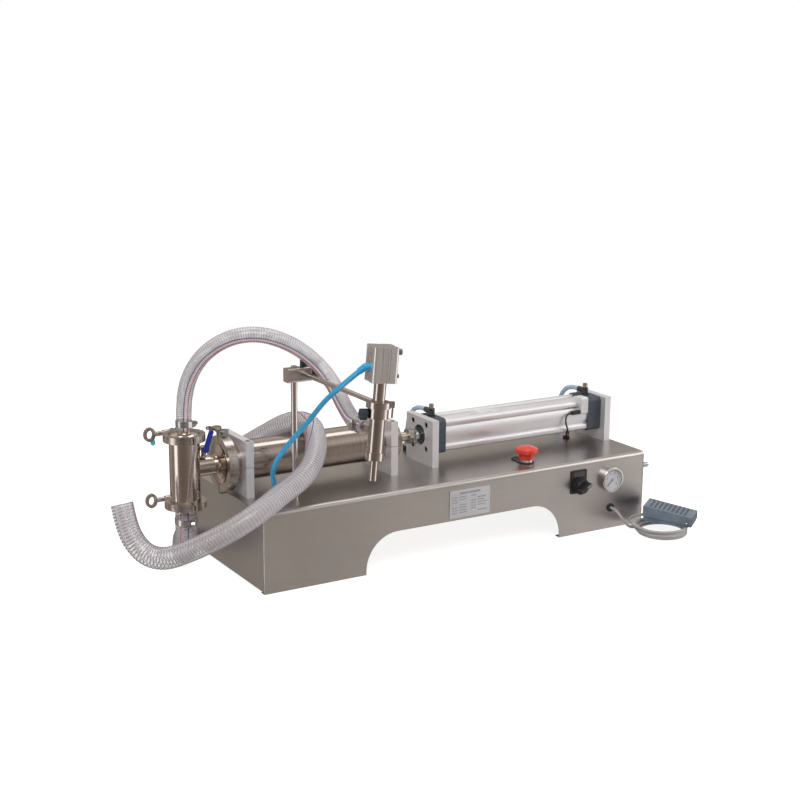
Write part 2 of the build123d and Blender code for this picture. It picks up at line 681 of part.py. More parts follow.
# ---------------------------------------------------------------- air fittings
PORT_X = (11.0, PLATE_REAR_X - PLATE_T / 2 - 14)
ARM_END_Y, ARM_LEVEL = 18.0, CAP_PORT_Z + 8
with BuildPart() as flow_controls:
    for port in PORT_X:
        with BuildSketch(Plane.XY.offset(CAP_PORT_Z)):
            with Locations((port, 0)):
                RegularPolygon(7, 6)
        extrude(amount=4)
        with BuildSketch(Plane.XY.offset(CAP_PORT_Z)):
            with Locations((port, 0)):
                Circle(6)
        extrude(amount=13)
        with BuildSketch(Plane.XZ.offset(-ARM_END_Y)):
            with Locations((port, ARM_LEVEL)):
                Circle(5)
        extrude(amount=ARM_END_Y)
        with BuildSketch(Plane.XY.offset(CAP_PORT_Z + 3)):
            with Locations((port, 0)):
                Circle(2.1)
        extrude(amount=20, mode=Mode.SUBTRACT)
save(flow_controls.part, "flow_controls")

for port, label in zip(PORT_X, ("flow_screw_front", "flow_screw_rear")):
    with BuildPart() as flow_screw:
        with BuildSketch(Plane.XY.offset(CAP_PORT_Z + 4)):
            with Locations((port, 0)):
                Circle(2.05)
        extrude(amount=13)
        with BuildSketch(Plane.XY.offset(CAP_PORT_Z + 14)):
            with Locations((port, 0)):
                Circle(3.6)
                with PolarLocations(3.7, 14):
                    Circle(0.45)
        extrude(amount=7)
        with BuildSketch(Plane.XY.offset(CAP_PORT_Z + 17)):
            with Locations((port, 0)):
                Circle(4.6)
        extrude(amount=2)
    save(flow_screw.part, label)

BULKHEAD_TOP = CAB_H + 8
GROMMET_LIP = 2.0
with BuildPart() as glands:
    for hole in (AIR_TUBE_HOLE, *SUPPLY_HOLES):
        with BuildSketch(Plane.XY.offset(CAB_H)):
            with Locations(hole):
                Circle(7)
        extrude(amount=BULKHEAD_TOP - CAB_H)
        with BuildSketch(Plane.XY.offset(CAB_H)):
            with Locations(hole):
                Circle(BULKHEAD_R)
        extrude(amount=-10)
    with BuildSketch(Plane.XY.offset(CAB_H)):
        with Locations(SENSOR_GLAND):
            Circle(SENSOR_GLAND_R + 2)
    extrude(amount=GLAND_H)
    with BuildSketch(Plane.XY.offset(CAB_H)):
        with Locations(SENSOR_GLAND):
            Circle(SENSOR_GLAND_R)
    extrude(amount=-5)
    with BuildSketch(Plane.XZ.offset(-FRONT)):
        with Locations((GROMMET_X, GROMMET_Z)):
            Circle(GROMMET_R + 1.5)
    extrude(amount=GROMMET_LIP)
    with BuildSketch(Plane.XZ.offset(-FRONT)):
        with Locations((GROMMET_X, GROMMET_Z)):
            Circle(GROMMET_R)
    extrude(amount=-5)
save(glands.part, "glands")

for port, hole, label in zip(PORT_X, SUPPLY_HOLES, ("supply_tube_front", "supply_tube_rear")):
    supply_route = [
        (port, ARM_END_Y, ARM_LEVEL),
        (port, 46, ARM_LEVEL),
        ((port + hole[0]) / 2, 70, 198),
        (hole[0], hole[1], 168),
        (hole[0], hole[1], BULKHEAD_TOP),
    ]
    save(hose(supply_route, SUPPLY_D, label), label)

with BuildPart() as air_inlet:
    with BuildSketch(Plane.YZ.offset(RIGHT)):
        with Locations((INLET_Y, INLET_Z)):
            RegularPolygon(8, 6)
    extrude(amount=9)
    for start, radius, long in ((RIGHT - 10, INLET_HOLE_R, 10), (RIGHT + 9, 6.8, 8), (RIGHT + 17, 4.6, 16)):
        with BuildSketch(Plane.YZ.offset(start)):
            with Locations((INLET_Y, INLET_Z)):
                Circle(radius)
        extrude(amount=long)
    fillet(edges().group_by(Axis.X)[-1], 1)
save(air_inlet.part, "air_inlet")

# ---------------------------------------------------------------- controls
LEGEND_T = 2.0
with BuildPart() as legend_plates:
    with BuildSketch(Plane.XY.offset(CAB_H)):
        with Locations((ESTOP_X, ESTOP_Y + 11)):
            RectangleRounded(26, 48, 12)
        with Locations((ESTOP_X, ESTOP_Y)):
            Circle(CONTROL_HOLE_R, mode=Mode.SUBTRACT)
    extrude(amount=LEGEND_T)
    with BuildSketch(Plane.XZ.offset(-FRONT)):
        with Locations((SELECTOR_X - 1, SELECTOR_Z + 7)):
            RectangleRounded(33, 41, 2)
    extrude(amount=LEGEND_T)
    with BuildSketch(Plane.XZ.offset(-FRONT + LEGEND_T)):
        with Locations((SELECTOR_X, SELECTOR_Z)):
            Circle(14.5)
    extrude(amount=7)
    with BuildSketch(Plane.XZ.offset(-FRONT)):
        with Locations((SELECTOR_X, SELECTOR_Z)):
            Circle(CONTROL_HOLE_R)
    extrude(amount=-22)
    with BuildSketch(Plane.XZ.offset(-FRONT + 10)):
        with Locations((SELECTOR_X, SELECTOR_Z)):
            Circle(5.05)
    extrude(amount=-20, mode=Mode.SUBTRACT)
save(legend_plates.part, "legend_plates")

STEM_R, COLLAR_LOW, COLLAR_TOP = 6.0, 110.0, CAB_H + 7
with BuildPart() as estop_collar:
    with BuildSketch(Plane.XZ):
        with BuildLine():
            Polyline(
                (ESTOP_X + STEM_R + 0.05, COLLAR_LOW),
                (ESTOP_X + CONTROL_HOLE_R, COLLAR_LOW),
                (ESTOP_X + CONTROL_HOLE_R, COLLAR_TOP - 0.8),
                (ESTOP_X + CONTROL_HOLE_R - 0.8, COLLAR_TOP),
                (ESTOP_X + STEM_R + 0.05, COLLAR_TOP),
                close=True,
            )
        make_face()
    revolve(axis=Axis((ESTOP_X, 0, 0), (0, 0, 1)))
    with BuildSketch(Plane.XY.offset(CAB_H - SHEET)):
        with Locations((ESTOP_X, 0)):
            RegularPolygon(16, 6)
            Circle(CONTROL_HOLE_R, mode=Mode.SUBTRACT)
    extrude(amount=-5)
save(estop_collar.part.moved(Location((0, ESTOP_Y, 0))), "estop_collar")

SKIRT_R, DOME_EDGE, DOME_RISE = 13.5, 19.0, 5.0
DOME_R = (DOME_EDGE**2 + DOME_RISE**2) / (2 * DOME_RISE)
DOME_TOP = CAB_H + 30
with BuildPart() as estop_head:
    with BuildSketch(Plane.XY.offset(COLLAR_LOW + 4)):
        with Locations((ESTOP_X, 0)):
            Circle(STEM_R)
    extrude(amount=COLLAR_TOP + 2 - COLLAR_LOW)
    with BuildSketch(Plane.XY.offset(COLLAR_TOP + 0.5)):
        with Locations((ESTOP_X, 0)):
            Circle(SKIRT_R)
            Circle(CONTROL_HOLE_R + 0.6, mode=Mode.SUBTRACT)
    extrude(amount=6)
    with BuildSketch(Plane.XZ):
        with BuildLine():
            Polyline(
                (ESTOP_X, DOME_TOP),
                (ESTOP_X, CAB_H + 12.5),
                (ESTOP_X + SKIRT_R, CAB_H + 12.5),
                (ESTOP_X + 12.8, CAB_H + 17),
                (ESTOP_X + DOME_EDGE, CAB_H + 18.5),
                (ESTOP_X + 20, CAB_H + 21.5),
                (ESTOP_X + DOME_EDGE, DOME_TOP - DOME_RISE),
            )
            RadiusArc((ESTOP_X + DOME_EDGE, DOME_TOP - DOME_RISE), (ESTOP_X, DOME_TOP), -DOME_R)
        make_face()
    revolve(axis=Axis((ESTOP_X, 0, 0), (0, 0, 1)))
save(estop_head.part.moved(Location((0, ESTOP_Y, 0))), "estop_head")

KNOB_Y = -FRONT + 9.3
with BuildPart() as selector_knob:
    with BuildSketch(Plane.XZ.offset(KNOB_Y)):
        with Locations((SELECTOR_X, SELECTOR_Z)):
            Circle(5)
    extrude(amount=-14)
    with BuildSketch(Plane.XZ.offset(KNOB_Y)):
        with Locations((SELECTOR_X, SELECTOR_Z)):
            Circle(12.5)
    extrude(amount=5, taper=8)
    with BuildSketch(Plane.XZ.offset(KNOB_Y)):
        with Locations(Location((SELECTOR_X, SELECTOR_Z), 30)):
            RectangleRounded(27, 7.5, 3)
    extrude(amount=14, taper=3)
    fillet(edges().group_by(Axis.Y)[0], 0.8)
save(selector_knob.part, "selector_knob")

DIAL_R = 18.5
with BuildPart() as gauge_case:
    with BuildSketch(Plane.XZ.offset(-FRONT)):
        with Locations((GAUGE_X, GAUGE_Z)):
            Circle(GAUGE_R)
    extrude(amount=10)
    fillet(edges().group_by(Axis.Y)[0], 1.6)
    with BuildSketch(Plane.XZ.offset(-FRONT)):
        with Locations((GAUGE_X, GAUGE_Z)):
            Circle(GAUGE_BODY_R)
    extrude(amount=-22)
    with BuildSketch(Plane.XZ.offset(-FRONT + 10)):
        with Locations((GAUGE_X, GAUGE_Z)):
            Circle(DIAL_R)
    extrude(amount=-4.5, mode=Mode.SUBTRACT)
    with BuildSketch(Plane.XZ.offset(-FRONT - 22)):
        with Locations((GAUGE_X, GAUGE_Z)):
            RegularPolygon(7, 6)
    extrude(amount=-10)
save(gauge_case.part, "gauge_case")

DIAL_Y = -FRONT + 5.5
with BuildPart() as gauge_dial:
    with BuildSketch(Plane.XZ.offset(DIAL_Y)):
        with Locations((GAUGE_X, GAUGE_Z)):
            Circle(DIAL_R)
    extrude(amount=0.8)
    with BuildSketch(Plane.XZ.offset(DIAL_Y)):
        with Locations((GAUGE_X, GAUGE_Z)):
            Circle(0.9)
    extrude(amount=1.6)
save(gauge_dial.part, "gauge_dial")

with BuildPart() as gauge_needle:
    with BuildSketch(Plane.XZ.offset(DIAL_Y + 1)):
        with Locations((GAUGE_X, GAUGE_Z)):
            Circle(2.2)
        with Locations(Location((GAUGE_X, GAUGE_Z), 225)):
            Trapezoid(2, 14, 87, rotation=-90, align=(Align.CENTER, Align.MIN))
        with Locations((GAUGE_X, GAUGE_Z)):
            Circle(0.95, mode=Mode.SUBTRACT)
    extrude(amount=0.6)
save(gauge_needle.part, "gauge_needle")

# ---------------------------------------------------------------- stand
ARM_STUB = 12.0
with BuildPart() as stand_rods:
    with BuildSketch(Plane.XY.offset(CAB_H)):
        with Locations((POST_X, POST_Y)):
            Circle(POST_R)
    extrude(amount=POST_TOP - CAB_H)
    chamfer(edges().group_by(Axis.Z)[-1], 0.8)
    with BuildSketch(Plane.XZ.offset(-POST_Y - ARM_STUB)):
        with Locations((ARM_X, ARM_Z)):
            Circle(ARM_R)
    extrude(amount=POST_Y + ARM_STUB - HEAD_Y - 9)
save(stand_rods.part, "stand_rods")

BLOCK_X0, BLOCK_X1 = -304.0, -263.0
LOCK_R, LOCK_Z = 2.5, ARM_Z + 2
with BuildPart() as cross_clamp:
    with BuildSketch(Plane.YZ.offset(BLOCK_X0)):
        with Locations((POST_Y, ARM_Z)):
            RectangleRounded(18, 22, 3)
    extrude(amount=BLOCK_X1 - BLOCK_X0)
    with BuildSketch(Plane.XZ.offset(-POST_Y)):
        with Locations((ARM_X, ARM_Z)):
            Circle(ARM_R)
    extrude(amount=20, both=True, mode=Mode.SUBTRACT)
    with BuildSketch(Plane.XY.offset(ARM_Z)):
        with Locations((POST_X, POST_Y)):
            Circle(POST_R)
    extrude(amount=20, both=True, mode=Mode.SUBTRACT)
    with BuildSketch(Plane.XY.offset(ARM_Z + ARM_R)):
        with Locations((ARM_X, POST_Y)):
            Circle(LOCK_R + 0.05)
    extrude(amount=20, mode=Mode.SUBTRACT)
    with BuildSketch(Plane.YZ.offset(BLOCK_X1 - 4)):
        with Locations((POST_Y, LOCK_Z)):
            Circle(LOCK_R + 0.05)
    extrude(amount=10, mode=Mode.SUBTRACT)
save(cross_clamp.part, "cross_clamp")

with BuildPart() as arm_lever:
    with BuildSketch(Plane.XY.offset(ARM_Z + ARM_R + 2)):
        with Locations((ARM_X, POST_Y)):
            Circle(LOCK_R)
    extrude(amount=20)
    with BuildSketch(Plane.XY.offset(ARM_Z + 12)):
        with Locations((ARM_X, POST_Y)):
            Circle(5.5)
    extrude(amount=10)
    with BuildSketch(Plane.XY.offset(ARM_Z + 14)):
        with Locations((ARM_X, POST_Y)):
            SlotOverall(30, 7, align=(Align.MIN, Align.CENTER))
    extrude(amount=6)
save(arm_lever.part, "arm_lever")

with BuildPart() as clamp_knob:
    with BuildSketch(Plane.YZ.offset(BLOCK_X1 - 3)):
        with Locations((POST_Y, LOCK_Z)):
            Circle(LOCK_R)
    extrude(amount=10)
    with BuildSketch(Plane.YZ.offset(BLOCK_X1 + 3)):
        with Locations((POST_Y, LOCK_Z)):
            Circle(9)
            with PolarLocations(9, 6):
                Circle(2.6)
    extrude(amount=11)
    fillet(edges().group_by(Axis.X)[-1], 1.2)
save(clamp_knob.part, "clamp_knob")

# ---------------------------------------------------------------- filling head, leaning on its arm
BARB_REACH = 30.0
BARB_DIR = Vector(-0.10, 0.995, 0).normalized()
HEAD_AXIS_LOW = Vector(*HEAD.origin) + HEAD.z_dir * -30
INLET_BARB = Plane(origin=HEAD_AXIS_LOW, z_dir=BARB_DIR)
BARB_END = HEAD_AXIS_LOW + BARB_DIR * BARB_REACH

HOOK_OUT = 22.0
with BuildPart() as head_body:
    with BuildSketch(HEAD.offset(-73)):
        Circle(13)
    extrude(amount=11)
    with BuildSketch(HEAD.offset(-63)):
        Circle(11.5)
    extrude(amount=53)
    with BuildSketch(HEAD.offset(-12)):
        Circle(15.5)
    extrude(amount=14.6)
    with BuildSketch(HEAD.offset(2)):
        Circle(9)
    extrude(amount=39)
    with BuildSketch(INLET_BARB):
        Circle(8)
    extrude(amount=BARB_REACH)
    with BuildSketch(HEAD.offset(-66)):
        Circle(8)
    extrude(amount=56, mode=Mode.SUBTRACT)
    with BuildSketch(HEAD.offset(-80)):
        Circle(5.5)
    extrude(amount=20, mode=Mode.SUBTRACT)
    with BuildSketch(HEAD.offset(-15)):
        Circle(4.05)
    extrude(amount=60, mode=Mode.SUBTRACT)
    with BuildSketch(INLET_BARB):
        Circle(5)
    extrude(amount=BARB_REACH + 1, mode=Mode.SUBTRACT)
    with BuildSketch(HEAD.offset(3)):
        Circle(18)
        with Locations((HOOK_OUT - 3, 0)):
            Rectangle(10, 5)
        Circle(9, mode=Mode.SUBTRACT)
    extrude(amount=9)
    with BuildSketch(HEAD.offset(-12)):
        with Locations((HOOK_OUT, 0)):
            Circle(1.6)
    extrude(amount=16)
    add(stand_rods.part, mode=Mode.SUBTRACT)
save(head_body.part, "head_body")

with BuildPart() as nozzle_tip:
    with BuildSketch(HEAD.offset(-104)):
        Circle(5.5)
        Circle(4, mode=Mode.SUBTRACT)
    extrude(amount=38)
save(nozzle_tip.part, "nozzle_tip")

with BuildPart() as head_needle:
    with BuildSketch(HEAD.offset(-104)):
        Circle(3.95)
    extrude(amount=6)
    with BuildSketch(HEAD.offset(-100)):
        Circle(2.2)
    extrude(amount=46)
    with BuildSketch(HEAD.offset(-54)):
        Circle(4)
    extrude(amount=110)
    with BuildSketch(HEAD.offset(46)):
        Circle(12.45)
    extrude(amount=12)
save(head_needle.part, "head_needle")

CYL_SIDE = 38.0
with BuildPart() as head_cylinder:
    with BuildSketch(HEAD.offset(41)):
        RectangleRounded(CYL_SIDE, CYL_SIDE, 5)
        with PolarLocations(CYL_SIDE / 2, 4):
            Rectangle(3.5, 6, mode=Mode.SUBTRACT)
        with PolarLocations(CYL_SIDE / 2, 4, start_angle=18):
            Circle(1.2, mode=Mode.SUBTRACT)
        with PolarLocations(CYL_SIDE / 2, 4, start_angle=-18):
            Circle(1.2, mode=Mode.SUBTRACT)
    extrude(amount=51)
    with BuildSketch(HEAD.offset(44)):
        Circle(12.5)
    extrude(amount=44, mode=Mode.SUBTRACT)
    with BuildSketch(HEAD.offset(41)):
        Circle(4.05)
    extrude(amount=5, mode=Mode.SUBTRACT)
save(head_cylinder.part, "head_cylinder")

side_plane = Plane(origin=HEAD.origin, x_dir=HEAD.y_dir, z_dir=HEAD.x_dir)
ELBOW_LEVEL, ELBOW_OUT, ELBOW_L = 62.0, 24.5, 12.0
ELBOW_DIR = Vector(-0.45, 0.62, -0.64).normalized()
elbow_turn = Vector(*HEAD.origin) + HEAD.z_dir * ELBOW_LEVEL - HEAD.x_dir * ELBOW_OUT
with BuildPart() as head_fittings:
    for level, start, reach, radius in ((84, 19, 9.5, 4.5), (49, 19, 7.5, 3.0), (ELBOW_LEVEL, -ELBOW_OUT, 5.5, 5)):
        with BuildSketch(side_plane.offset(start)):
            with Locations((0, level)):
                Circle(radius)
        extrude(amount=reach)
    with BuildSketch(Plane(origin=elbow_turn, z_dir=ELBOW_DIR)):
        Circle(5)
    extrude(amount=ELBOW_L)
    with Locations(elbow_turn):
        Sphere(5)
save(head_fittings.part, "head_fittings")

KNOB_LEVEL = -6.5
with BuildPart() as head_knob:
    with BuildSketch(side_plane.offset(-17)):
        with Locations((0, KNOB_LEVEL)):
            Circle(2.5)
    extrude(amount=1.5)
    with BuildSketch(side_plane.offset(-27)):
        with Locations((0, KNOB_LEVEL)):
            Circle(7.4)
            with PolarLocations(7.4, 7):
                Circle(1.2)
    extrude(amount=10)
save(head_knob.part, "head_knob")

# ---------------------------------------------------------------- hoses and tubes
OUTLET_ROUTE = [
    (VALVE_X, 0, BARB_TOP),
    (VALVE_X, 0, 284),
    (-436, -13, 329),
    (-419, -34, 367),
    (-388, -58, 392),
    (-352, -78, 398),
    (-315, -90, 387),
    (-280, -94, 366),
    (-254.5, -107, 339),
    (-247, -134, 314),
    (-256, -175, 298),
    (-269, -222, 289),
    tuple(BARB_END + BARB_DIR * 22),
    tuple(BARB_END),
]
save(hose(OUTLET_ROUTE, OUTLET_D, "outlet_hose"), "outlet_hose")

SUCTION_ROUTE = [
    (VALVE_X, 0, BARB_BOTTOM),
    (VALVE_X, 0, 74),
    (-437, 17, 41),
    (-427, 50, 20.5),
    (-412, 88, 18),
    (-397, 124, 18.5),
    (-380, 156, 19),
    (-352, 182, 26),
    (-326, 194, 56),
    (-312, 188, 96),
    (-303, 158, 136),
    (-286, 114, 168),
    (-268, 66, 198),
    (-247, 24, 226),
    (-229, -14, 230),
    (-232, -45, 213),
    (-262, -92, 187),
    (-297, -118, 171),
    (-336, -129, 157),
    (-382, -152, 143),
    (-424, -151, 122),
    (-456, -128, 99),
    (-484, -101, 79),
    (-509, -76, 64),
    (-530, -54, 68),
    (-543, -36, 88),
    (-549, -22, 114),
    (-550, -12, 141),
]
save(hose(SUCTION_ROUTE, SUCTION_D, "suction_hose"), "suction_hose")

TUBE_START = elbow_turn + ELBOW_DIR * ELBOW_L
HEAD_TUBE_ROUTE = [
    tuple(TUBE_START),
    tuple(TUBE_START + ELBOW_DIR * 24),
    (-316, -231, 322),
    (-315, -190, 289),
    (-319, -156, 259),
    (-327, -127, 230),
    (-334, -104, 202),
    (-333, -87, 177),
    (-325, -77, 160),
    (AIR_TUBE_HOLE[0], AIR_TUBE_HOLE[1], 150),
    (AIR_TUBE_HOLE[0], AIR_TUBE_HOLE[1], BULKHEAD_TOP),
]
save(hose(HEAD_TUBE_ROUTE, AIR_TUBE_D, "head_air_tube"), "head_air_tube")

head_band = small_band.moved(Plane(origin=BARB_END + BARB_DIR * 9, x_dir=(0, 0, 1), z_dir=BARB_DIR).location)
with BuildPart() as hose_bands:
    add(small_band.moved(Location((VALVE_X, 0, BARB_TOP + 12), (0, 0, 35))))
    add(large_band.moved(Location((VALVE_X, 0, BARB_BOTTOM - 16), (0, 0, -18))))
    add(head_band)
save(hose_bands.part, "hose_bands")

# ---------------------------------------------------------------- foot switch
WALL = 2.0
PIVOT_AT, PIVOT_R = (34, 6), 2.5
pedal_side = Plane(origin=PEDAL.origin, x_dir=PEDAL.x_dir, z_dir=-PEDAL.y_dir)
with BuildPart() as pedal_base:
    with BuildSketch(pedal_side):
        with BuildLine():
            Polyline((-PEDAL_L / 2, 0), (PEDAL_L / 2, 0), (PEDAL_L / 2, 9), (-PEDAL_L / 2, 13), close=True)
        make_face()
    extrude(amount=PEDAL_W / 2 - WALL - 0.4, both=True)
    with BuildSketch(pedal_side):
        with Locations(PIVOT_AT):
            Circle(PIVOT_R)
    extrude(amount=PEDAL_W / 2 + 0.8, both=True)
save(pedal_base.part, "pedal_base")

with BuildPart() as pedal_treadle:
    with BuildSketch(pedal_side):
        with BuildLine():
            Polyline(
                (-PEDAL_L / 2 - 1, 11),
                (PEDAL_L / 2 + 1, 2.5),
                (PEDAL_L / 2 + 1, 17),
                (-PEDAL_L / 2 - 1, 30),
                close=True,
            )
        make_face()
    extrude(amount=PEDAL_W / 2, both=True)
    fillet(edges().filter_by(GeomType.LINE).group_by(Axis.Z)[-1], 1.5)
    with BuildSketch(pedal_side):
        with BuildLine():
            Polyline(
                (-PEDAL_L / 2 - 2, 0),
                (PEDAL_L / 2 + 2, 0),
                (PEDAL_L / 2 + 2, 12.5),
                (-PEDAL_L / 2 - 2, 26),
                close=True,
            )
        make_face()
    extrude(amount=PEDAL_W / 2 - WALL, both=True, mode=Mode.SUBTRACT)
    with BuildSketch(pedal_side):
        with Locations(PIVOT_AT):
            Circle(PIVOT_R + 0.05)
    extrude(amount=PEDAL_W, both=True, mode=Mode.SUBTRACT)
save(pedal_treadle.part, "pedal_treadle")

with BuildPart() as pedal_coil:
    with BuildSketch(Plane.XZ):
        with Locations((COIL_X + COIL_R, COIL_SECTION / 2)):
            RectangleRounded(COIL_SECTION, COIL_SECTION, 4)
    revolve(axis=Axis((COIL_X, 0, 0), (0, 0, 1)))
save(pedal_coil.part.moved(Location((0, COIL_Y, 0))), "pedal_coil")

BASE_END = PEDAL.from_local_coords((-PEDAL_L / 2, 0, 6))
PEDAL_OUT = -PEDAL.x_dir
EXIT_ROUTE = [
    (GROMMET_X, FRONT - GROMMET_LIP, GROMMET_Z),
    (GROMMET_X, FRONT - 14, GROMMET_Z),
    (304, -157, 27),
    (313, -163, 13),
    (323, -163, 6),
    (333, -162, 5),
]
LEAD_ROUTE = [
    tuple(Vector(*BASE_END)),
    tuple(Vector(*BASE_END) + PEDAL_OUT * 10),
    (337, -143, 17),
    (324, -157, 10),
]
with BuildPart() as pedal_cable:
    add(hose(EXIT_ROUTE, PEDAL_CABLE_D, "pedal_cable exit"))
    add(hose(LEAD_ROUTE, PEDAL_CABLE_D, "pedal_cable lead"))
save(pedal_cable.part, "pedal_cable")
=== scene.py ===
import json
from math import cos, pi, radians, sin

import bpy
from mathutils import Matrix, Vector


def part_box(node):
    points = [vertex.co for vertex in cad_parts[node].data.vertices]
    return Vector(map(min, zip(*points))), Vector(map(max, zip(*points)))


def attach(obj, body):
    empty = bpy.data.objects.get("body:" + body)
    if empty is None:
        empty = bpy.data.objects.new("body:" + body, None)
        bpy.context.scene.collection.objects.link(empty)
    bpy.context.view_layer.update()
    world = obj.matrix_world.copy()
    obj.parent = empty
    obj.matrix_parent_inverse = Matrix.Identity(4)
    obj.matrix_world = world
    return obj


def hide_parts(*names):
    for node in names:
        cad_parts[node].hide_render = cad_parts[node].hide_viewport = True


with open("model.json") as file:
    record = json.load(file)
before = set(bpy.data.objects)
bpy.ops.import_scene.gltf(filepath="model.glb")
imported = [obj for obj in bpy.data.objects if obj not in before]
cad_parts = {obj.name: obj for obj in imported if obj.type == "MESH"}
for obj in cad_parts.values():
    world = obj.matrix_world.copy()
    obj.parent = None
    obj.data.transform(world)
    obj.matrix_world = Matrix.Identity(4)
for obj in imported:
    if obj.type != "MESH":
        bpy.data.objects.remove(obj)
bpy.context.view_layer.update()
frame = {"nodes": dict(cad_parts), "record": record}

nodes = frame["nodes"]
scene = bpy.context.scene
MM = 0.001


def mm(x, y, z):
    """A point given in millimetres, in metres."""
    return Vector((x, y, z)) * MM


# ------------------------------------------------------------------ camera
# the photograph's viewpoint, found from the cabinet's straight edges
CAMERA_PLACE = mm(-1311.7, -2105.9, 824.4)
AZIMUTH, ELEVATION, ROLL = radians(30.90), radians(13.31), radians(0.412)
FOCAL_IN_WIDTHS = 1.87909
SENSOR = 36.0

ahead = Vector((sin(AZIMUTH) * cos(ELEVATION), cos(AZIMUTH) * cos(ELEVATION), -sin(ELEVATION)))
level_right = ahead.cross(Vector((0, 0, 1))).normalized()
level_up = level_right.cross(ahead)
right = level_right * cos(ROLL) + level_up * sin(ROLL)
up = level_up * cos(ROLL) - level_right * sin(ROLL)

lens = bpy.data.cameras.new("camera")
lens.sensor_width = SENSOR
lens.lens = FOCAL_IN_WIDTHS * SENSOR
lens.clip_start, lens.clip_end = 0.05, 50
camera = bpy.data.objects.new("camera", lens)
camera.matrix_world = Matrix.Translation(CAMERA_PLACE) @ Matrix((right, up, -ahead)).transposed().to_4x4()
scene.collection.objects.link(camera)
scene.camera = camera


# ------------------------------------------------------------------ materials
class Shader:
    """One procedural material: a Principled shader with textures in the object's own metres."""

    def __init__(self, name, colour, metallic=0.0, roughness=0.4, **sockets):
        self.material = bpy.data.materials.new(name)
        self.material.use_nodes = True
        self.tree = self.material.node_tree
        self.bsdf = self.tree.nodes["Principled BSDF"]
        self.bsdf.inputs["Base Color"].default_value = (*colour, 1)
        self.bsdf.inputs["Metallic"].default_value = metallic
        self.bsdf.inputs["Roughness"].default_value = roughness
        for socket, value in sockets.items():
            self.bsdf.inputs[socket.replace("_", " ")].default_value = value
        self.colour_out = None
        self.normal_out = None

    def node(self, kind, **settings):
        made = self.tree.nodes.new("ShaderNode" + kind)
        for key, value in settings.items():
            setattr(made, key, value)
        return made

    def join(self, source, target):
        self.tree.links.new(source, target)

    def place(self, stretch=(1, 1, 1)):
        coords = self.node("TexCoord")
        mapping = self.node("Mapping")
        mapping.inputs["Scale"].default_value = stretch
        self.join(coords.outputs["Object"], mapping.inputs["Vector"])
        return mapping.outputs["Vector"]

    def noise(self, size, stretch=(1, 1, 1), detail=3.0):
        """Noise whose features are about size metres, longer where stretch is under 1."""
        made = self.node("TexNoise")
        made.inputs["Scale"].default_value = 1 / size
        made.inputs["Detail"].default_value = detail
        self.join(self.place(stretch), made.inputs["Vector"])
        return made.outputs["Fac"]

    def ramp(self, fac, stops, interpolation="LINEAR"):
        made = self.node("ValToRGB")
        elements = made.color_ramp.elements
        made.color_ramp.interpolation = interpolation
        while len(elements) < len(stops):
            elements.new(0.5)
        for element, (position, colour) in zip(elements, stops):
            element.position = position
            element.color = (*colour, 1)
        self.join(fac, made.inputs["Fac"])
        return made.outputs["Color"]

    def tint(self, fac, dark, light, low=0.3, high=0.7):
        """Base colour between two shades, following fac."""
        self.colour_out = self.ramp(fac, [(low, dark), (high, light)])
        self.join(self.colour_out, self.bsdf.inputs["Base Color"])
        return self

    def spread(self, fac, low, high, start=0.3, stop=0.7):
        """Roughness between low and high, following fac."""
        made = self.node("MapRange")
        for socket, value in zip(("From Min", "From Max", "To Min", "To Max"), (start, stop, low, high)):
            made.inputs[socket].default_value = value
        self.join(fac, made.inputs["Value"])
        self.join(made.outputs["Result"], self.bsdf.inputs["Roughness"])
        return self

    def bump(self, height, strength=0.2, distance=0.0002):
        """Relief from a height, on top of any relief already there."""
        made = self.node("Bump")
        made.inputs["Strength"].default_value = strength
        made.inputs["Distance"].default_value = distance
        self.join(height, made.inputs["Height"])
        if self.normal_out is not None:
            self.join(self.normal_out, made.inputs["Normal"])
        self.normal_out = made.outputs["Normal"]
        self.join(self.normal_out, self.bsdf.inputs["Normal"])
        return self


def shade(colour, factor):
    """A colour made lighter or darker."""
    return tuple(min(1.0, channel * factor) for channel in colour)


ALONG_X, ALONG_Z = (0.012, 1, 1), (1, 1, 0.012)
ROUND_X, ROUND_Z = (1, 0.02, 0.02), (0.02, 0.02, 1)


def metal(name, colour, roughness, grain, size=0.0009, relief=0.12, spread=0.08, cloud=0.10, metallic=1.0):
    """Bare metal with a grain of fine lines, faint clouds of tone and a roughness that follows them."""
    made = Shader(name, colour, metallic, roughness)
    lines = made.noise(size, grain, 2.0)
    clouds = made.noise(0.09, (1, 1, 1), 2.0)
    both = made.node("Math", operation="ADD")
    made.join(lines, both.inputs[0])
    made.join(clouds, both.inputs[1])
    half = made.node("Math", operation="MULTIPLY")
    half.inputs[1].default_value = 0.5
    made.join(both.outputs[0], half.inputs[0])
    made.tint(half.outputs[0], shade(colour, 1 - cloud), shade(colour, 1 + cloud), 0.38, 0.62)
    made.spread(lines, roughness - spread / 2, roughness + spread)
    return made.bump(lines, relief, 0.0001).material


def cast(name, colour, roughness, metallic=1.0, size=0.0016, relief=0.35):
    """A cast or tumbled surface: small soft dimples and worn tone."""
    made = Shader(name, colour, metallic, roughness)
    dimples = made.noise(size, (1, 1, 1), 3.0)
    wear = made.noise(0.018, (1, 1, 1), 3.0)
    made.tint(wear, shade(colour, 0.80), shade(colour, 1.15))
    made.spread(wear, roughness - 0.06, roughness + 0.12)
    return made.bump(dimples, relief, 0.0002).material


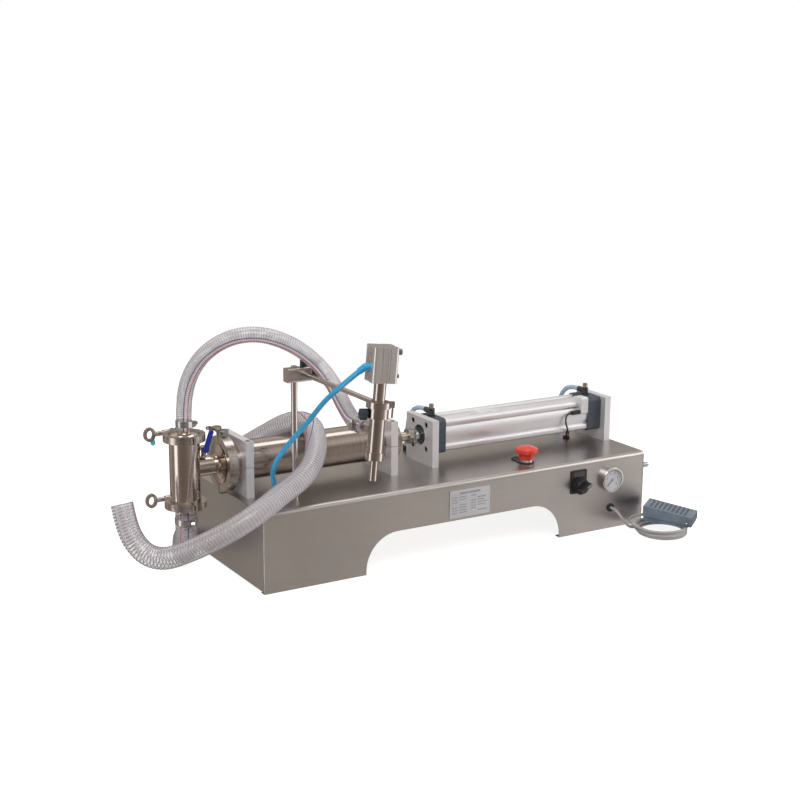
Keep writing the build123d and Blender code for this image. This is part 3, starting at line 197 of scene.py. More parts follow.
def plastic(name, colour, roughness, size=0.0007, relief=0.15, coat=0.0, cloud=0.12):
    """A moulding with a fine leather-like texture and slight tone changes."""
    made = Shader(name, colour, 0.0, roughness, Coat_Weight=coat)
    pores = made.noise(size, (1, 1, 1), 2.0)
    tone = made.noise(0.02, (1, 1, 1), 3.0)
    made.tint(tone, shade(colour, 1 - cloud), shade(colour, 1 + cloud))
    made.spread(tone, roughness - 0.04, roughness + 0.06)
    return made.bump(pores, relief, 0.0001).material


def rubber(name, colour, roughness=0.55):
    """Cable sheath or seal: dull, with fine dust."""
    made = Shader(name, colour, 0.0, roughness)
    dust = made.noise(0.004, (1, 1, 1), 4.0)
    made.tint(dust, shade(colour, 0.85), shade(colour, 1.15))
    made.spread(dust, roughness - 0.08, roughness + 0.08)
    return made.bump(made.noise(0.0006, (1, 1, 1), 2.0), 0.12, 0.0001).material


def clear(name, colour, alpha, roughness):
    """Soft see-through plastic with a slight haze in patches."""
    made = Shader(name, colour, 0.0, roughness, Alpha=alpha, Coat_Weight=0.6)
    haze = made.noise(0.012, (1, 1, 1), 3.0)
    made.tint(haze, shade(colour, 0.93), shade(colour, 1.05))
    made.spread(haze, roughness - 0.04, roughness + 0.08)
    return made.bump(haze, 0.15, 0.0004).material


def banded(name, axis, stops, metallic, roughness):
    """A turned part whose colour changes in steps along one axis, at places given in metres."""
    made = Shader(name, stops[0][1], metallic, roughness)
    apart = made.node("SeparateXYZ")
    made.join(made.place(), apart.inputs[0])
    low, high = stops[0][0], stops[-1][0]
    level = made.node("MapRange")
    level.inputs["From Min"].default_value = low
    level.inputs["From Max"].default_value = high
    made.join(apart.outputs["XYZ".index(axis)], level.inputs["Value"])
    steps = [((place - low) / (high - low), colour) for place, colour in stops]
    made.join(made.ramp(level.outputs[0], steps, "CONSTANT"), made.bsdf.inputs["Base Color"])
    return made.bump(made.noise(0.0008, ROUND_X, 2.0), 0.2, 0.0001).material


STEEL = (0.54, 0.515, 0.505)
BRIGHT_STEEL = (0.62, 0.57, 0.53)
ALUMINIUM = (0.80, 0.80, 0.84)

materials = {
    "cabinet_steel": metal("brushed_sheet", STEEL, 0.31, ALONG_X, 0.0007, 0.06, 0.05, 0.05),
    "plate_print": metal("anodised_plate", (0.70, 0.71, 0.76), 0.42, ALONG_X, 0.0006, 0.08),
    "machined_aluminium": metal("milled_aluminium", ALUMINIUM, 0.38, ALONG_Z, 0.0008, 0.20, 0.10, 0.06, 0.40),
    "black_screw": cast("black_oxide", (0.05, 0.05, 0.055), 0.42, 0.8),
    "polished_steel": metal("polished_steel", (0.62, 0.54, 0.49), 0.10, ROUND_Z, 0.0010, 0.05, 0.06, 0.08),
    "barrel_steel": metal("barrel_steel", (0.44, 0.39, 0.36), 0.15, ROUND_X, 0.0010, 0.06, 0.06, 0.08),
    "white_seal": rubber("dark_green_seal", (0.022, 0.050, 0.040), 0.40),
    "blue_lever": plastic("royal_blue_dip", (0.010, 0.030, 0.40), 0.28, 0.002, 0.1, 0.4),
    "cast_clamp": cast("cast_clamp", (0.56, 0.51, 0.475), 0.22, 1.0),
    "ball_steel": metal("ground_ball", (0.72, 0.72, 0.72), 0.10, ROUND_Z, 0.0006, 0.03),
    "navy_cap": plastic("navy_casting", (0.062, 0.078, 0.108), 0.45, 0.0009, 0.25),
    "bright_profile": metal("bright_extrusion", (0.84, 0.84, 0.88), 0.46, ALONG_X, 0.0012, 0.06, 0.06, 0.03),
    "white_band": plastic("white_clamp", (0.76, 0.78, 0.80), 0.38),
    "black_plastic": plastic("black_moulding", (0.022, 0.022, 0.025), 0.42),
    "black_cable": rubber("black_lead", (0.020, 0.020, 0.024), 0.45),
    "piston_steel": metal("piston_steel", BRIGHT_STEEL, 0.22, ROUND_X, 0.0008, 0.08),
    "black_seal": rubber("black_seal", (0.025, 0.025, 0.028), 0.40),
    "rod_chrome": metal("hard_chrome", (0.74, 0.74, 0.77), 0.09, ROUND_X, 0.0007, 0.03),
    "coupling_steel": cast("coupling_steel", (0.42, 0.39, 0.36), 0.30),
    "black_fitting": plastic("fitting_body", (0.030, 0.036, 0.046), 0.30, 0.001, 0.1, 0.3),
    "brass_screw": metal("nickelled_brass", (0.60, 0.52, 0.40), 0.24, ROUND_Z, 0.0006, 0.2),
    "collar_chrome": metal("chromed_collar", (0.74, 0.73, 0.74), 0.12, ROUND_Z, 0.0007, 0.05),
    "red_button": plastic("red_moulding", (0.78, 0.045, 0.020), 0.30, 0.0009, 0.08, 0.35),
    "black_knob": plastic("black_knob", (0.018, 0.018, 0.021), 0.30, 0.0009, 0.1, 0.2),
    "gauge_chrome": metal("chromed_bezel", (0.70, 0.68, 0.67), 0.12, (1, 0.02, 1), 0.0010, 0.04),
    "dial_white": plastic("dial_face", (0.70, 0.73, 0.83), 0.50, 0.0006, 0.05),
    "needle_black": plastic("pointer_paint", (0.015, 0.015, 0.018), 0.40, 0.0005, 0.05),
    "rod_steel": metal("ground_rod", BRIGHT_STEEL, 0.20, ALONG_Z, 0.0007, 0.06),
    "navy_knob": plastic("navy_moulding", (0.034, 0.050, 0.066), 0.35),
    "head_steel": metal("turned_head", (0.54, 0.475, 0.44), 0.11, ROUND_Z, 0.0009, 0.07),
    "satin_aluminium": metal("satin_extrusion", (0.78, 0.76, 0.77), 0.20, ALONG_Z, 0.0008, 0.08, 0.06, 0.06, 0.75),
    "band_steel": metal("worm_band", (0.55, 0.54, 0.53), 0.26, ROUND_Z, 0.0012, 0.25),
    "pedal_grey": cast("pedal_enamel", (0.20, 0.26, 0.335), 0.40, 0.1, 0.0014, 0.25),
    "grey_cable": rubber("grey_sheath", (0.44, 0.44, 0.46), 0.48),
    "clear_hose": clear("clear_hose", (0.90, 0.88, 0.95), 0.46, 0.10),
    "hose_wire": metal("helix_wire", (0.54, 0.52, 0.56), 0.18, (1, 1, 1), 0.003, 0.03, 0.08, 0.06, 0.6),
    "azure_tube": clear("azure_tube", (0.03, 0.52, 1.0), 0.93, 0.20),
    "pale_tube": clear("pale_tube", (0.46, 0.68, 0.90), 0.80, 0.22),
    "red_line": plastic("red_line", (0.62, 0.060, 0.085), 0.35),
    "pink_line": plastic("pink_line", (0.90, 0.76, 0.82), 0.35),
    "blue_line": plastic("blue_line", (0.035, 0.055, 0.21), 0.35),
}

inlet_low, inlet_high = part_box("air_inlet")
INLET_STEPS = [
    (inlet_low.x, (0.30, 0.62, 0.70)),
    (inlet_high.x - 0.032, (0.56, 0.54, 0.52)),
    (inlet_high.x - 0.0235, (0.05, 0.62, 0.76)),
    (inlet_high.x - 0.0105, (0.46, 0.44, 0.48)),
    (inlet_high.x - 0.004, (0.70, 0.62, 0.55)),
    (inlet_high.x, (0.70, 0.62, 0.55)),
]
# the elbow is blue like its tube, the fittings to its right are dark
HEAD_PORTS = [(-0.34, (0.03, 0.46, 0.90)), (-0.28, (0.16, 0.165, 0.18)), (-0.20, (0.16, 0.165, 0.18))]
materials["head_ports"] = banded("head_ports", "X", HEAD_PORTS, 0.0, 0.25)
materials["inlet_brass"] = banded("inlet_plug", "X", INLET_STEPS, 0.6, 0.25)
record_slots = {part["node"]: part["material_slot"] for part in frame["record"]["subparts"]}
OWN_MATERIAL = {"barrel": "barrel_steel", "head_fittings": "head_ports",
                "outlet_hose": "clear_hose", "suction_hose": "clear_hose"}


def dress(name, slot):
    """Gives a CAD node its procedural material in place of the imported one."""
    mesh = nodes[name].data
    mesh.materials.clear()
    mesh.materials.append(materials[slot])


for node_name, slot_name in record_slots.items():
    dress(node_name, OWN_MATERIAL.get(node_name, slot_name))


# ------------------------------------------------------------------ mesh helpers
def add_mesh(name, vertices, faces, slot, body="cabinet", smooth=True):
    """A new piece from points and faces, in its slot's material, riding on a body."""
    mesh = bpy.data.meshes.new(name)
    mesh.from_pydata([tuple(v) for v in vertices], [], faces)
    mesh.validate()
    mesh.polygons.foreach_set("use_smooth", [smooth] * len(mesh.polygons))
    mesh.materials.append(materials[slot])
    piece = bpy.data.objects.new(name, mesh)
    scene.collection.objects.link(piece)
    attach(piece, body)
    return piece


def curve_on(name, points, radius=0.0, slot=None):
    """A NURBS curve with a route's points as its control points, round if it has a radius."""
    data = bpy.data.curves.new(name, "CURVE")
    data.dimensions = "3D"
    data.resolution_u = 12
    data.bevel_depth = radius
    data.bevel_resolution = 6
    data.use_fill_caps = True
    spline = data.splines.new("NURBS")
    spline.points.add(len(points) - 1)
    for control, point in zip(spline.points, points):
        control.co = (*point, 1)
    spline.order_u = 3
    spline.use_endpoint_u = True
    curve = bpy.data.objects.new(name, data)
    scene.collection.objects.link(curve)
    if slot:
        data.materials.append(materials[slot])
        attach(curve, "cabinet")
    return curve


def smooth_line(points):
    """The smooth NURBS line of a route, as the points Blender draws it with."""
    line = curve_on("route_line", points)
    bpy.context.view_layer.update()
    drawn = bpy.data.meshes.new_from_object(line.evaluated_get(bpy.context.evaluated_depsgraph_get()))
    path = [v.co.copy() for v in drawn.vertices]
    bpy.data.meshes.remove(drawn)
    data = line.data
    bpy.data.objects.remove(line)
    bpy.data.curves.remove(data)
    return path


def carried_frames(path, first_side):
    """At each point of a path: the point, and two directions square to it that don't twist."""
    side = Vector(first_side)
    made = []
    for i, point in enumerate(path):
        along = (path[min(i + 1, len(path) - 1)] - path[max(i - 1, 0)]).normalized()
        side = (side - along * side.dot(along)).normalized()
        made.append((point, side, along.cross(side)))
    return made


def rings(name, loops, slot, body="cabinet"):
    """A skin over loops of equally many points, with both ends closed by a face."""
    sides = len(loops[0])
    vertices = [v for loop in loops for v in loop]
    faces = []
    for i in range(len(loops) - 1):
        for j in range(sides):
            a, b = i * sides + j, i * sides + (j + 1) % sides
            faces.append((a, b, b + sides, a + sides))
    faces.append(tuple(reversed(range(sides))))
    faces.append(tuple(range((len(loops) - 1) * sides, len(loops) * sides)))
    return add_mesh(name, vertices, faces, slot, body)


HOSE_SIDES, WIRE_SIDES, LINE_SIDES, BEAD_SIDES = 28, 5, 6, 8


def circle_loop(frame_here, radius, sides):
    point, side, other = frame_here
    return [point + (side * cos(a) + other * sin(a)) * radius for a in (2 * pi * k / sides for k in range(sides))]


def hose_skin(name, frames, radius, wall, open_end):
    """A hose's skin; an open end turns in and shows a bore over the last sixteenth of the path."""
    loops = [circle_loop(f, radius, HOSE_SIDES) for f in frames]
    if open_end:
        depth = max(4, len(frames) // 16)
        loops += [circle_loop(f, radius - wall, HOSE_SIDES) for f in reversed(frames[-depth:])]
    return rings(name, loops, "clear_hose")


def hose_wire(name, frames, radius, pitch, thickness):
    """The helix in the hose's wall, its turns spaced by length along the hose."""
    steps_per_turn = 16
    places = []
    turned = 0.0
    next_angle = 0.0
    for (a, side_a, other_a), (b, side_b, other_b) in zip(frames, frames[1:]):
        run = (b - a).length
        end_angle = turned + run / pitch * 2 * pi
        while next_angle < end_angle:
            t = (next_angle - turned) / (end_angle - turned)
            side = side_a.lerp(side_b, t)
            other = other_a.lerp(other_b, t)
            places.append(a.lerp(b, t) + (side * cos(next_angle) + other * sin(next_angle)) * radius)
            next_angle += 2 * pi / steps_per_turn
        turned = end_angle
    coils = carried_frames(places, frames[0][1])
    return rings(name, [circle_loop(f, thickness / 2, WIRE_SIDES) for f in coils], "hose_wire")


def hose_line(name, frames, radius, angle, width, slot):
    """A coloured line along a hose, standing just out of its surface."""
    proud = 0.0004
    depth = radius - width / 2 + proud
    path = [p + (s * cos(angle) + o * sin(angle)) * depth for p, s, o in frames]
    return rings(name, [circle_loop(f, width / 2, LINE_SIDES) for f in carried_frames(path, frames[0][1])], slot)


# ------------------------------------------------------------------ cords
# the filling head's place, lean and turn, and the foot switch's place, as in the CAD
LEAN, TURN = radians(5), radians(10)
HEAD_PLACE = mm(-270, -305, 318)
HEAD_UP = Vector((sin(LEAN), 0, cos(LEAN)))
HEAD_RIGHT = Vector((cos(TURN) * cos(LEAN), -sin(TURN), -cos(TURN) * sin(LEAN)))
BARB_DIR = Vector((-0.10, 0.995, 0)).normalized()
BARB_END = HEAD_PLACE - HEAD_UP * 0.030 + BARB_DIR * 0.030
ELBOW_DIR = Vector((-0.45, 0.62, -0.64)).normalized()
TUBE_START = HEAD_PLACE + HEAD_UP * 0.062 - HEAD_RIGHT * 0.0245 + ELBOW_DIR * 0.012
PEDAL_PLACE = mm(385, -193, 16)
PEDAL_ALONG = Vector((0.61, -0.79, 0)).normalized()
PEDAL_ACROSS = Vector((0, 0, 1)).cross(PEDAL_ALONG)
PEDAL_END = PEDAL_PLACE - PEDAL_ALONG * 0.042 + Vector((0, 0, 0.006))

outlet_route = [
    mm(-441, 0, 240),
    mm(-441, 0, 284),
    mm(-436, -13, 329),
    mm(-419, -34, 367),
    mm(-388, -58, 392),
    mm(-352, -78, 398),
    mm(-315, -90, 387),
    mm(-280, -94, 366),
    mm(-254.5, -107, 339),
    mm(-247, -134, 314),
    mm(-256, -175, 298),
    mm(-269, -222, 289),
    BARB_END + BARB_DIR * 0.022,
    BARB_END,
]
suction_route = [
    mm(-441, 0, 110.5),
    mm(-441, 0, 74),
    mm(-437, 17, 41),
    mm(-427, 50, 20.5),
    mm(-412, 88, 18),
    mm(-397, 124, 18.5),
    mm(-380, 156, 19),
    mm(-352, 182, 26),
    mm(-326, 194, 56),
    mm(-312, 188, 96),
    mm(-303, 158, 136),
    mm(-286, 114, 168),
    mm(-268, 66, 198),
    mm(-247, 24, 226),
    mm(-229, -14, 230),
    mm(-232, -45, 213),
    mm(-262, -92, 187),
    mm(-297, -118, 171),
    mm(-336, -129, 157),
    mm(-382, -152, 143),
    mm(-424, -151, 122),
    mm(-456, -128, 99),
    mm(-484, -101, 79),
    mm(-509, -76, 64),
    mm(-530, -54, 68),
    mm(-543, -36, 88),
    mm(-549, -22, 114),
    mm(-550, -12, 141),
]
head_tube_route = [
    TUBE_START,
    TUBE_START + ELBOW_DIR * 0.024,
    mm(-316, -231, 322),
    mm(-315, -190, 289),
    mm(-319, -156, 259),
    mm(-327, -127, 230),
    mm(-334, -104, 202),
    mm(-333, -87, 177),
    mm(-325, -77, 160),
    mm(-321, -74, 150),
    mm(-321, -74, 138),
]
sensor_route = [
    mm(288, -30.5, 187),
    mm(279, -30.5, 187),
    mm(273, -32, 181),
    mm(272, -34, 171),
    mm(276, -34.5, 160),
    mm(282, -29, 150),
    mm(289, -20, 145),
    mm(296, -11, 147),
    mm(303, 2, 149),
    mm(306, 8, 143),
    mm(306, 8, 134),
]


def supply_route(port, hole):
    """From a flow control's elbow, over and down to its bulkhead."""
    return [
        mm(port, 18, 217),
        mm(port, 46, 217),
        mm((port + hole) / 2, 70, 198),
        mm(hole, 80, 168),
        mm(hole, 80, 138),
    ]


def pedal_route():
    """Out of the grommet, nearly five loose turns on the bench, and into the end of the foot switch."""
    turn_radii = (0.0470, 0.0410, 0.0452, 0.0398, 0.0440, 0.0425)
    turn_levels = (0.0028, 0.0030, 0.0080, 0.0084, 0.0130, 0.0130)
    points = [
        mm(300, -134.5, 37.5),
        mm(300, -146.5, 37.5),
        mm(304, -157, 27),
        mm(313, -163, 13),
        mm(323, -163, 6),
    ]
    per_turn, first_angle, whole = 14, 118, 68
    centre = Vector((0.362, -0.198, 0))
    for k in range(whole):
        turn, part = divmod(k / per_turn, 1)
        turn = int(turn)
        radius = turn_radii[turn] * (1 - part) + turn_radii[turn + 1] * part
        level = turn_levels[turn] * (1 - part) + turn_levels[turn + 1] * part
        angle = radians(first_angle - 360 / per_turn * k)
        wander = 0.0012 * sin(2.3 * angle + turn)
        points.append(centre + Vector((cos(angle), sin(angle), 0)) * (radius + wander) + Vector((0, 0, level)))
    points += [
        mm(317, -176, 14.5),
        mm(324, -157, 16),
        mm(337, -145, 18),
        PEDAL_END - PEDAL_ALONG * 0.010,
        PEDAL_END,
    ]
    return points


MARKED_SIDE = Vector((-0.51, -0.86, 0))


def twisted(frames, begin, end, turn):
    """Frames that turn about the path, evenly, between the places nearest two points."""
    first, last = (min(range(len(frames)), key=lambda k: (frames[k][0] - at).length) for at in (begin, end))
    made = []
    for k, (point, side, other) in enumerate(frames):
        angle = turn * min(1.0, max(0.0, (k - first) / (last - first)))
        made.append((point, side * cos(angle) + other * sin(angle), other * cos(angle) - side * sin(angle)))
    return made


def clear_hose(node, route, diameter, wall, pitch, wire, lines, far_end, twist=None):
    """A clear hose with its wire helix and coloured lines, in place of its plain solid."""
    frames = carried_frames(smooth_line(route), MARKED_SIDE)
    if twist:
        frames = twisted(frames, *twist)
    skin = hose_skin(node + "_skin", frames, diameter / 2, wall, far_end == "bare")
    helix = hose_wire(node + "_wire", frames, diameter / 2 - wire * 0.25, pitch, wire)
    for colour, angle, width in lines:
        hose_line(f"{node}_{colour}", frames, diameter / 2, radians(angle), width, colour)
    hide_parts(node)


def tube(node, route, diameter, slot, extra=()):
    """A plain round tube or cable in place of its plain solid."""
    run = curve_on(node + "_run", route, diameter / 2, slot)
    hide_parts(node, *extra)


OUTLET_LINES = (("blue_line", 6, 0.0012), ("pink_line", 22, 0.0030), ("red_line", 38, 0.0012))
SUCTION_LINES = (("red_line", 22, 0.0018), ("blue_line", -18, 0.0018))
OVER_THE_LOOP = (mm(-268, 66, 198), mm(-262, -92, 187), pi)
clear_hose("outlet_hose", outlet_route, diameter=0.024, wall=0.003, pitch=0.0036, wire=0.0013,
           lines=OUTLET_LINES, far_end="object")
clear_hose("suction_hose", suction_route, diameter=0.034, wall=0.0035, pitch=0.0050, wire=0.0019,
           lines=SUCTION_LINES, far_end="bare", twist=OVER_THE_LOOP)
tube("head_air_tube", head_tube_route, 0.008, "azure_tube")
tube("supply_tube_front", supply_route(11, 11), 0.008, "pale_tube")
tube("supply_tube_rear", supply_route(338.75, 339), 0.008, "pale_tube")
tube("sensor_cable", sensor_route, 0.003, "black_cable")
tube("pedal_cable", pedal_route(), 0.005, "grey_cable", ("pedal_coil",))

# ------------------------------------------------------------------ small parts on the cabinet
def slab(outline, low, high, across=(1, 0, 0), upward=(0, 0, 1), origin=(0, 0, 0)):
    """Points and faces of a plate: its outline in a plane, between two depths along the normal."""
    a, b, o = Vector(across), Vector(upward), Vector(origin)
    normal = a.cross(b)
    count = len(outline)
    points = [o + a * u + b * v + normal * depth for depth in (low, high) for u, v in outline]
    sides = [(k, (k + 1) % count, (k + 1) % count + count, k + count) for k in range(count)]
    return points, [tuple(reversed(range(count))), tuple(range(count, 2 * count)), *sides]


def merge(*shapes):
    """Several shapes' points and faces as one list of each."""
    points, faces = [], []
    for some, some_faces in shapes:
        start = len(points)
        points += some
        faces += [tuple(k + start for k in face) for face in some_faces]
    return points, faces


def rectangle(x, y, width, height, corner=0.0):
    """A rectangle's outline about its middle, with round corners if asked."""
    if corner == 0:
        return [(x + sx * width / 2, y + sy * height / 2) for sx, sy in ((-1, -1), (1, -1), (1, 1), (-1, 1))]
    outline = []
    for quarter, (sx, sy) in enumerate(((1, 1), (-1, 1), (-1, -1), (1, -1))):
        for step in range(6):
            angle = radians(90 * quarter + 18 * step)
            outline.append((x + sx * (width / 2 - corner) + corner * cos(angle),
                            y + sy * (height / 2 - corner) + corner * sin(angle)))
    return outline


def disc(x, y, radius, sides=32):
    return [(x + radius * cos(2 * pi * k / sides), y + radius * sin(2 * pi * k / sides)) for k in range(sides)]


FRONT_ACROSS, FRONT_UP = (1, 0, 0), (0, 0, 1)
plate_low, plate_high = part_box("nameplate")
plate_mid = (plate_low + plate_high) / 2
PLATE_FACE = (plate_mid.x, plate_low.y, plate_mid.z)
materials["print_grey"] = plastic("print_grey", (0.34, 0.35, 0.39), 0.6)
materials["print_pale"] = plastic("print_pale", (0.50, 0.54, 0.60), 0.5)

# thicknesses in metres; rows, columns and rules in millimetres from the plate's middle
INK, RULE_INK = 0.00012, 0.00010
ROWS = (11.2, 6.8, 2.4, -2.0, -6.4, -10.8, -15.2)
RULE_LEVELS = (14.0, 9.0, 4.6, 0.2, -4.2, -8.6, -13.0, -18.5)
print_shapes = [slab(rectangle(0, 17.5 * MM, 40 * MM, 3.2 * MM, 0.8 * MM), 0, INK,
                     FRONT_ACROSS, FRONT_UP, PLATE_FACE)]
for row, level in enumerate(ROWS):
    columns = ((-35, 11), (-21, 15), (2, 10), (15, 19 - 3 * (row % 3)))
    for column, (start, width) in enumerate(columns):
        if (row + column) % 5 != 3:
            box = rectangle((start + width / 2) * MM, level * MM, width * MM, 1.5 * MM, 0.5 * MM)
            print_shapes.append(slab(box, 0, INK, FRONT_ACROSS, FRONT_UP, PLATE_FACE))
add_mesh("nameplate_bars", *merge(*print_shapes), "print_grey", smooth=False)
rules = [slab(rectangle(0, level * MM, 73 * MM, 0.35 * MM), 0, RULE_INK, FRONT_ACROSS, FRONT_UP, PLATE_FACE)
         for level in RULE_LEVELS]
rules += [slab(rectangle(side * 36.5 * MM, -2.25 * MM, 0.35 * MM, 32.5 * MM), 0, RULE_INK,
               FRONT_ACROSS, FRONT_UP, PLATE_FACE) for side in (-1, 1)]
add_mesh("nameplate_rules", *merge(*rules), "print_pale", smooth=False)

shell_low, shell_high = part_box("cabinet_shell")
WELD, WELD_SINK = 0.0009, 0.0004
BEND_R, WELD_FOOT = 0.008, 0.002
front_y, back_y = shell_low.y + WELD_SINK, shell_high.y - WELD_SINK
bend_z, weld_r = shell_high.z - BEND_R, BEND_R - WELD_SINK
# the beads along both end edges are real seams in shape, but their colour is lighter than the sheet's: a painted
# highlight along the edges
materials["weld_bead_painted_highlight"] = metal("weld_bead_painted_highlight", (0.66, 0.62, 0.58), 0.22, (1, 1, 1), 0.0015, 0.3)
for label, x in (("left", shell_low.x), ("right", shell_high.x)):
    path = [Vector((x, front_y, WELD_FOOT)), Vector((x, front_y, bend_z))]
    for a in (radians(degrees) for degrees in range(15, 91, 15)):
        path.append(Vector((x, shell_low.y + BEND_R - weld_r * cos(a), bend_z + weld_r * sin(a))))
    for a in (radians(degrees) for degrees in range(0, 91, 15)):
        path.append(Vector((x, shell_high.y - BEND_R + weld_r * sin(a), bend_z + weld_r * cos(a))))
    path.append(Vector((x, back_y, WELD_FOOT)))
    beads = [circle_loop(f, WELD, BEAD_SIDES) for f in carried_frames(path, (1, 0, 0))]
    rings(f"{label}_end_weld", beads, "weld_bead_painted_highlight")

# ------------------------------------------------------------------ gauge: ticks, numbers and lens
_, dial_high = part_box("gauge_dial")
case_low, case_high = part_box("gauge_case")
DIAL_THICK, LENS_BACK = 0.0008, 0.0014
GAUGE = Vector(((case_low.x + case_high.x) / 2, dial_high.y - DIAL_THICK, (case_low.z + case_high.z) / 2))
DIAL_START, DIAL_SWEEP, DIAL_STEPS = 225, 270, 50
TICK_RIM, NUMBER_R = 0.0168, 0.0112
tick_shapes = []
for k in range(DIAL_STEPS + 1):
    angle = radians(DIAL_START - DIAL_SWEEP * k / DIAL_STEPS)
    long = 0.0032 if k % 10 == 0 else 0.0017
    half = 0.00025 if k % 10 == 0 else 0.00013
    out = Vector((cos(angle), 0, sin(angle)))
    turned = Vector((-sin(angle), 0, cos(angle)))
    tick_shapes.append(slab([(0, -half), (long, -half), (long, half), (0, half)], 0, INK,
                            out, turned, GAUGE + out * (TICK_RIM - long)))
ticks = add_mesh("gauge_ticks", *merge(*tick_shapes), "needle_black", smooth=False)
for k in range(6):
    angle = radians(DIAL_START - DIAL_SWEEP * k / 5)
    font = bpy.data.curves.new(f"gauge_number_{2 * k}", "FONT")
    font.body = str(2 * k)
    font.size = 0.0042
    font.align_x, font.align_y = "CENTER", "CENTER"
    font.extrude = 0.00005
    font.materials.append(materials["needle_black"])
    number = bpy.data.objects.new(f"gauge_number_{2 * k}", font)
    place = GAUGE + Vector((cos(angle), -0.01, sin(angle))) * NUMBER_R
    number.matrix_world = Matrix.Translation(place) @ Matrix.Rotation(pi / 2, 4, "X")
    scene.collection.objects.link(number)
    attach(number, "cabinet")
materials["lens_glass"] = clear("lens_glass", (0.93, 0.95, 0.97), 0.12, 0.04)
LENS_RINGS = ((0.0184, 0.0), (0.0184, 0.0008), (0.014, 0.0014), (0.008, 0.0018), (0.002, 0.0019))
lens_loops = []
for radius, depth in LENS_RINGS:
    rim = disc(GAUGE.x, GAUGE.z, radius, 40)
    lens_loops.append([Vector((x, case_low.y + LENS_BACK - depth, z)) for x, z in rim])
rings("gauge_lens", lens_loops, "lens_glass")

# ------------------------------------------------------------------ selector window and mark
knob_low, knob_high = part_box("selector_knob")
KNOB = Vector(((knob_low.x + knob_high.x) / 2, 0, (knob_low.z + knob_high.z) / 2))
PLATE_Y = shell_low.y - 0.002    # the legend plate's face
materials["window_grey"] = plastic("window_grey", (0.045, 0.048, 0.055), 0.22, 0.001, 0.05, 0.5)
WINDOW_X, WINDOW_Z = KNOB.x - 0.001, KNOB.z + 0.0205
window = slab(rectangle(WINDOW_X, WINDOW_Z, 0.024, 0.0095, 0.001), 0, 0.0004,
              FRONT_ACROSS, FRONT_UP, (0, PLATE_Y, 0))
add_mesh("selector_window", *window, "window_grey", smooth=False)
frame_bars = [slab(rectangle(WINDOW_X, WINDOW_Z + side * 0.0058, 0.027, 0.0012), 0, 0.0007,
                   FRONT_ACROSS, FRONT_UP, (0, PLATE_Y, 0)) for side in (-1, 1)]
add_mesh("selector_window_frame", *merge(*frame_bars), "black_plastic", smooth=False)
pointer_angle = radians(30)
pointer_across = Vector((cos(pointer_angle), 0, sin(pointer_angle)))
pointer_up = Vector((-sin(pointer_angle), 0, cos(pointer_angle)))
pointer = slab(rectangle(0.0065, 0, 0.009, 0.0011), -0.0002, 0.0003, pointer_across, pointer_up,
               (KNOB.x, knob_low.y, KNOB.z))
materials["mark_white"] = plastic("mark_white", (0.70, 0.70, 0.70), 0.5)
add_mesh("selector_mark", *pointer, "mark_white", "selector", smooth=False)

# ------------------------------------------------------------------ blank label on the air cylinder
AXIS_HEIGHT = 0.179
LABEL_IN, LABEL_OUT, LABEL_SPREAD = 0.0279, 0.0283, 24
LABEL_ENDS = (0.085, 0.150)


def label_arc(x, radius, degrees):
    """Points on an arc over the air cylinder's axis."""
    return [Vector((x, radius * sin(radians(a)), AXIS_HEIGHT + radius * cos(radians(a)))) for a in degrees]


label_loops = []
for x in LABEL_ENDS:
    outer = label_arc(x, LABEL_OUT, range(-LABEL_SPREAD, LABEL_SPREAD + 1, 6))
    inner = label_arc(x, LABEL_IN, range(LABEL_SPREAD, -LABEL_SPREAD - 1, -6))
    label_loops.append(outer + inner)
materials["label_pale"] = plastic("label_pale", (0.74, 0.75, 0.77), 0.5)
rings("cylinder_label", label_loops, "label_pale")

# ------------------------------------------------------------------ tag under the top nut's loop
nut_low, nut_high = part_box("top_wing_nut")
materials["cyan_tag"] = plastic("cyan_tag", (0.10, 0.72, 0.78), 0.35)
tag_at = Vector((nut_low.x + 0.0150, (nut_low.y + nut_high.y) / 2, nut_low.z + 0.0022))
TAG_RINGS = ((0.0008, 0.0022), (-0.0015, 0.0034), (-0.0050, 0.0042), (-0.0075, 0.0030), (-0.0086, 0.0012))
TAG_THICK, TAG_SIDES = 0.0016, 14
tag_loops = []
for level, width in TAG_RINGS:
    angles = [2 * pi * k / TAG_SIDES for k in range(TAG_SIDES)]
    tag_loops.append([tag_at + Vector((width * cos(a), TAG_THICK * sin(a), level)) for a in angles])
rings("nut_tag", tag_loops, "cyan_tag", "top_nut")

# ------------------------------------------------------------------ foot switch: ribbed tread and its pin
treadle_up = Vector((0, 0, 1))
SLOPE_RUN, SLOPE_DROP = 0.086, 0.013
RIBS, FIRST_RIB, RIB_STEP = 9, 0.012, 0.0076
tread_dir = (PEDAL_ALONG * SLOPE_RUN - treadle_up * SLOPE_DROP).normalized()
high_end = PEDAL_PLACE - PEDAL_ALONG * 0.043 + treadle_up * 0.030
materials["tread_rubber"] = rubber("tread_rubber", (0.085, 0.110, 0.140), 0.5)
ribs = []
for k in range(RIBS):
    at = high_end + tread_dir * (FIRST_RIB + RIB_STEP * k)
    ribs.append(slab(rectangle(0, 0, 0.0030, 0.038, 0.0012), -0.0003, 0.0008, tread_dir, PEDAL_ACROSS, at))
add_mesh("treadle_ribs", *merge(*ribs), "tread_rubber", "treadle", smooth=False)
pin_at = PEDAL_PLACE + PEDAL_ALONG * 0.034 + treadle_up * 0.006
materials["pin_steel"] = metal("pin_steel", (0.70, 0.69, 0.68), 0.2, (1, 1, 1), 0.002, 0.05)
PIN_R, PIN_HALF = 0.0024, 0.0255
caps = [slab(disc(0, 0, PIN_R, 20), side * PIN_HALF - 0.0001, side * PIN_HALF + 0.0006,
             PEDAL_ALONG, (0, 0, 1), pin_at)
        for side in (-1, 1)]
add_mesh("treadle_pin_ends", *merge(*caps), "pin_steel")

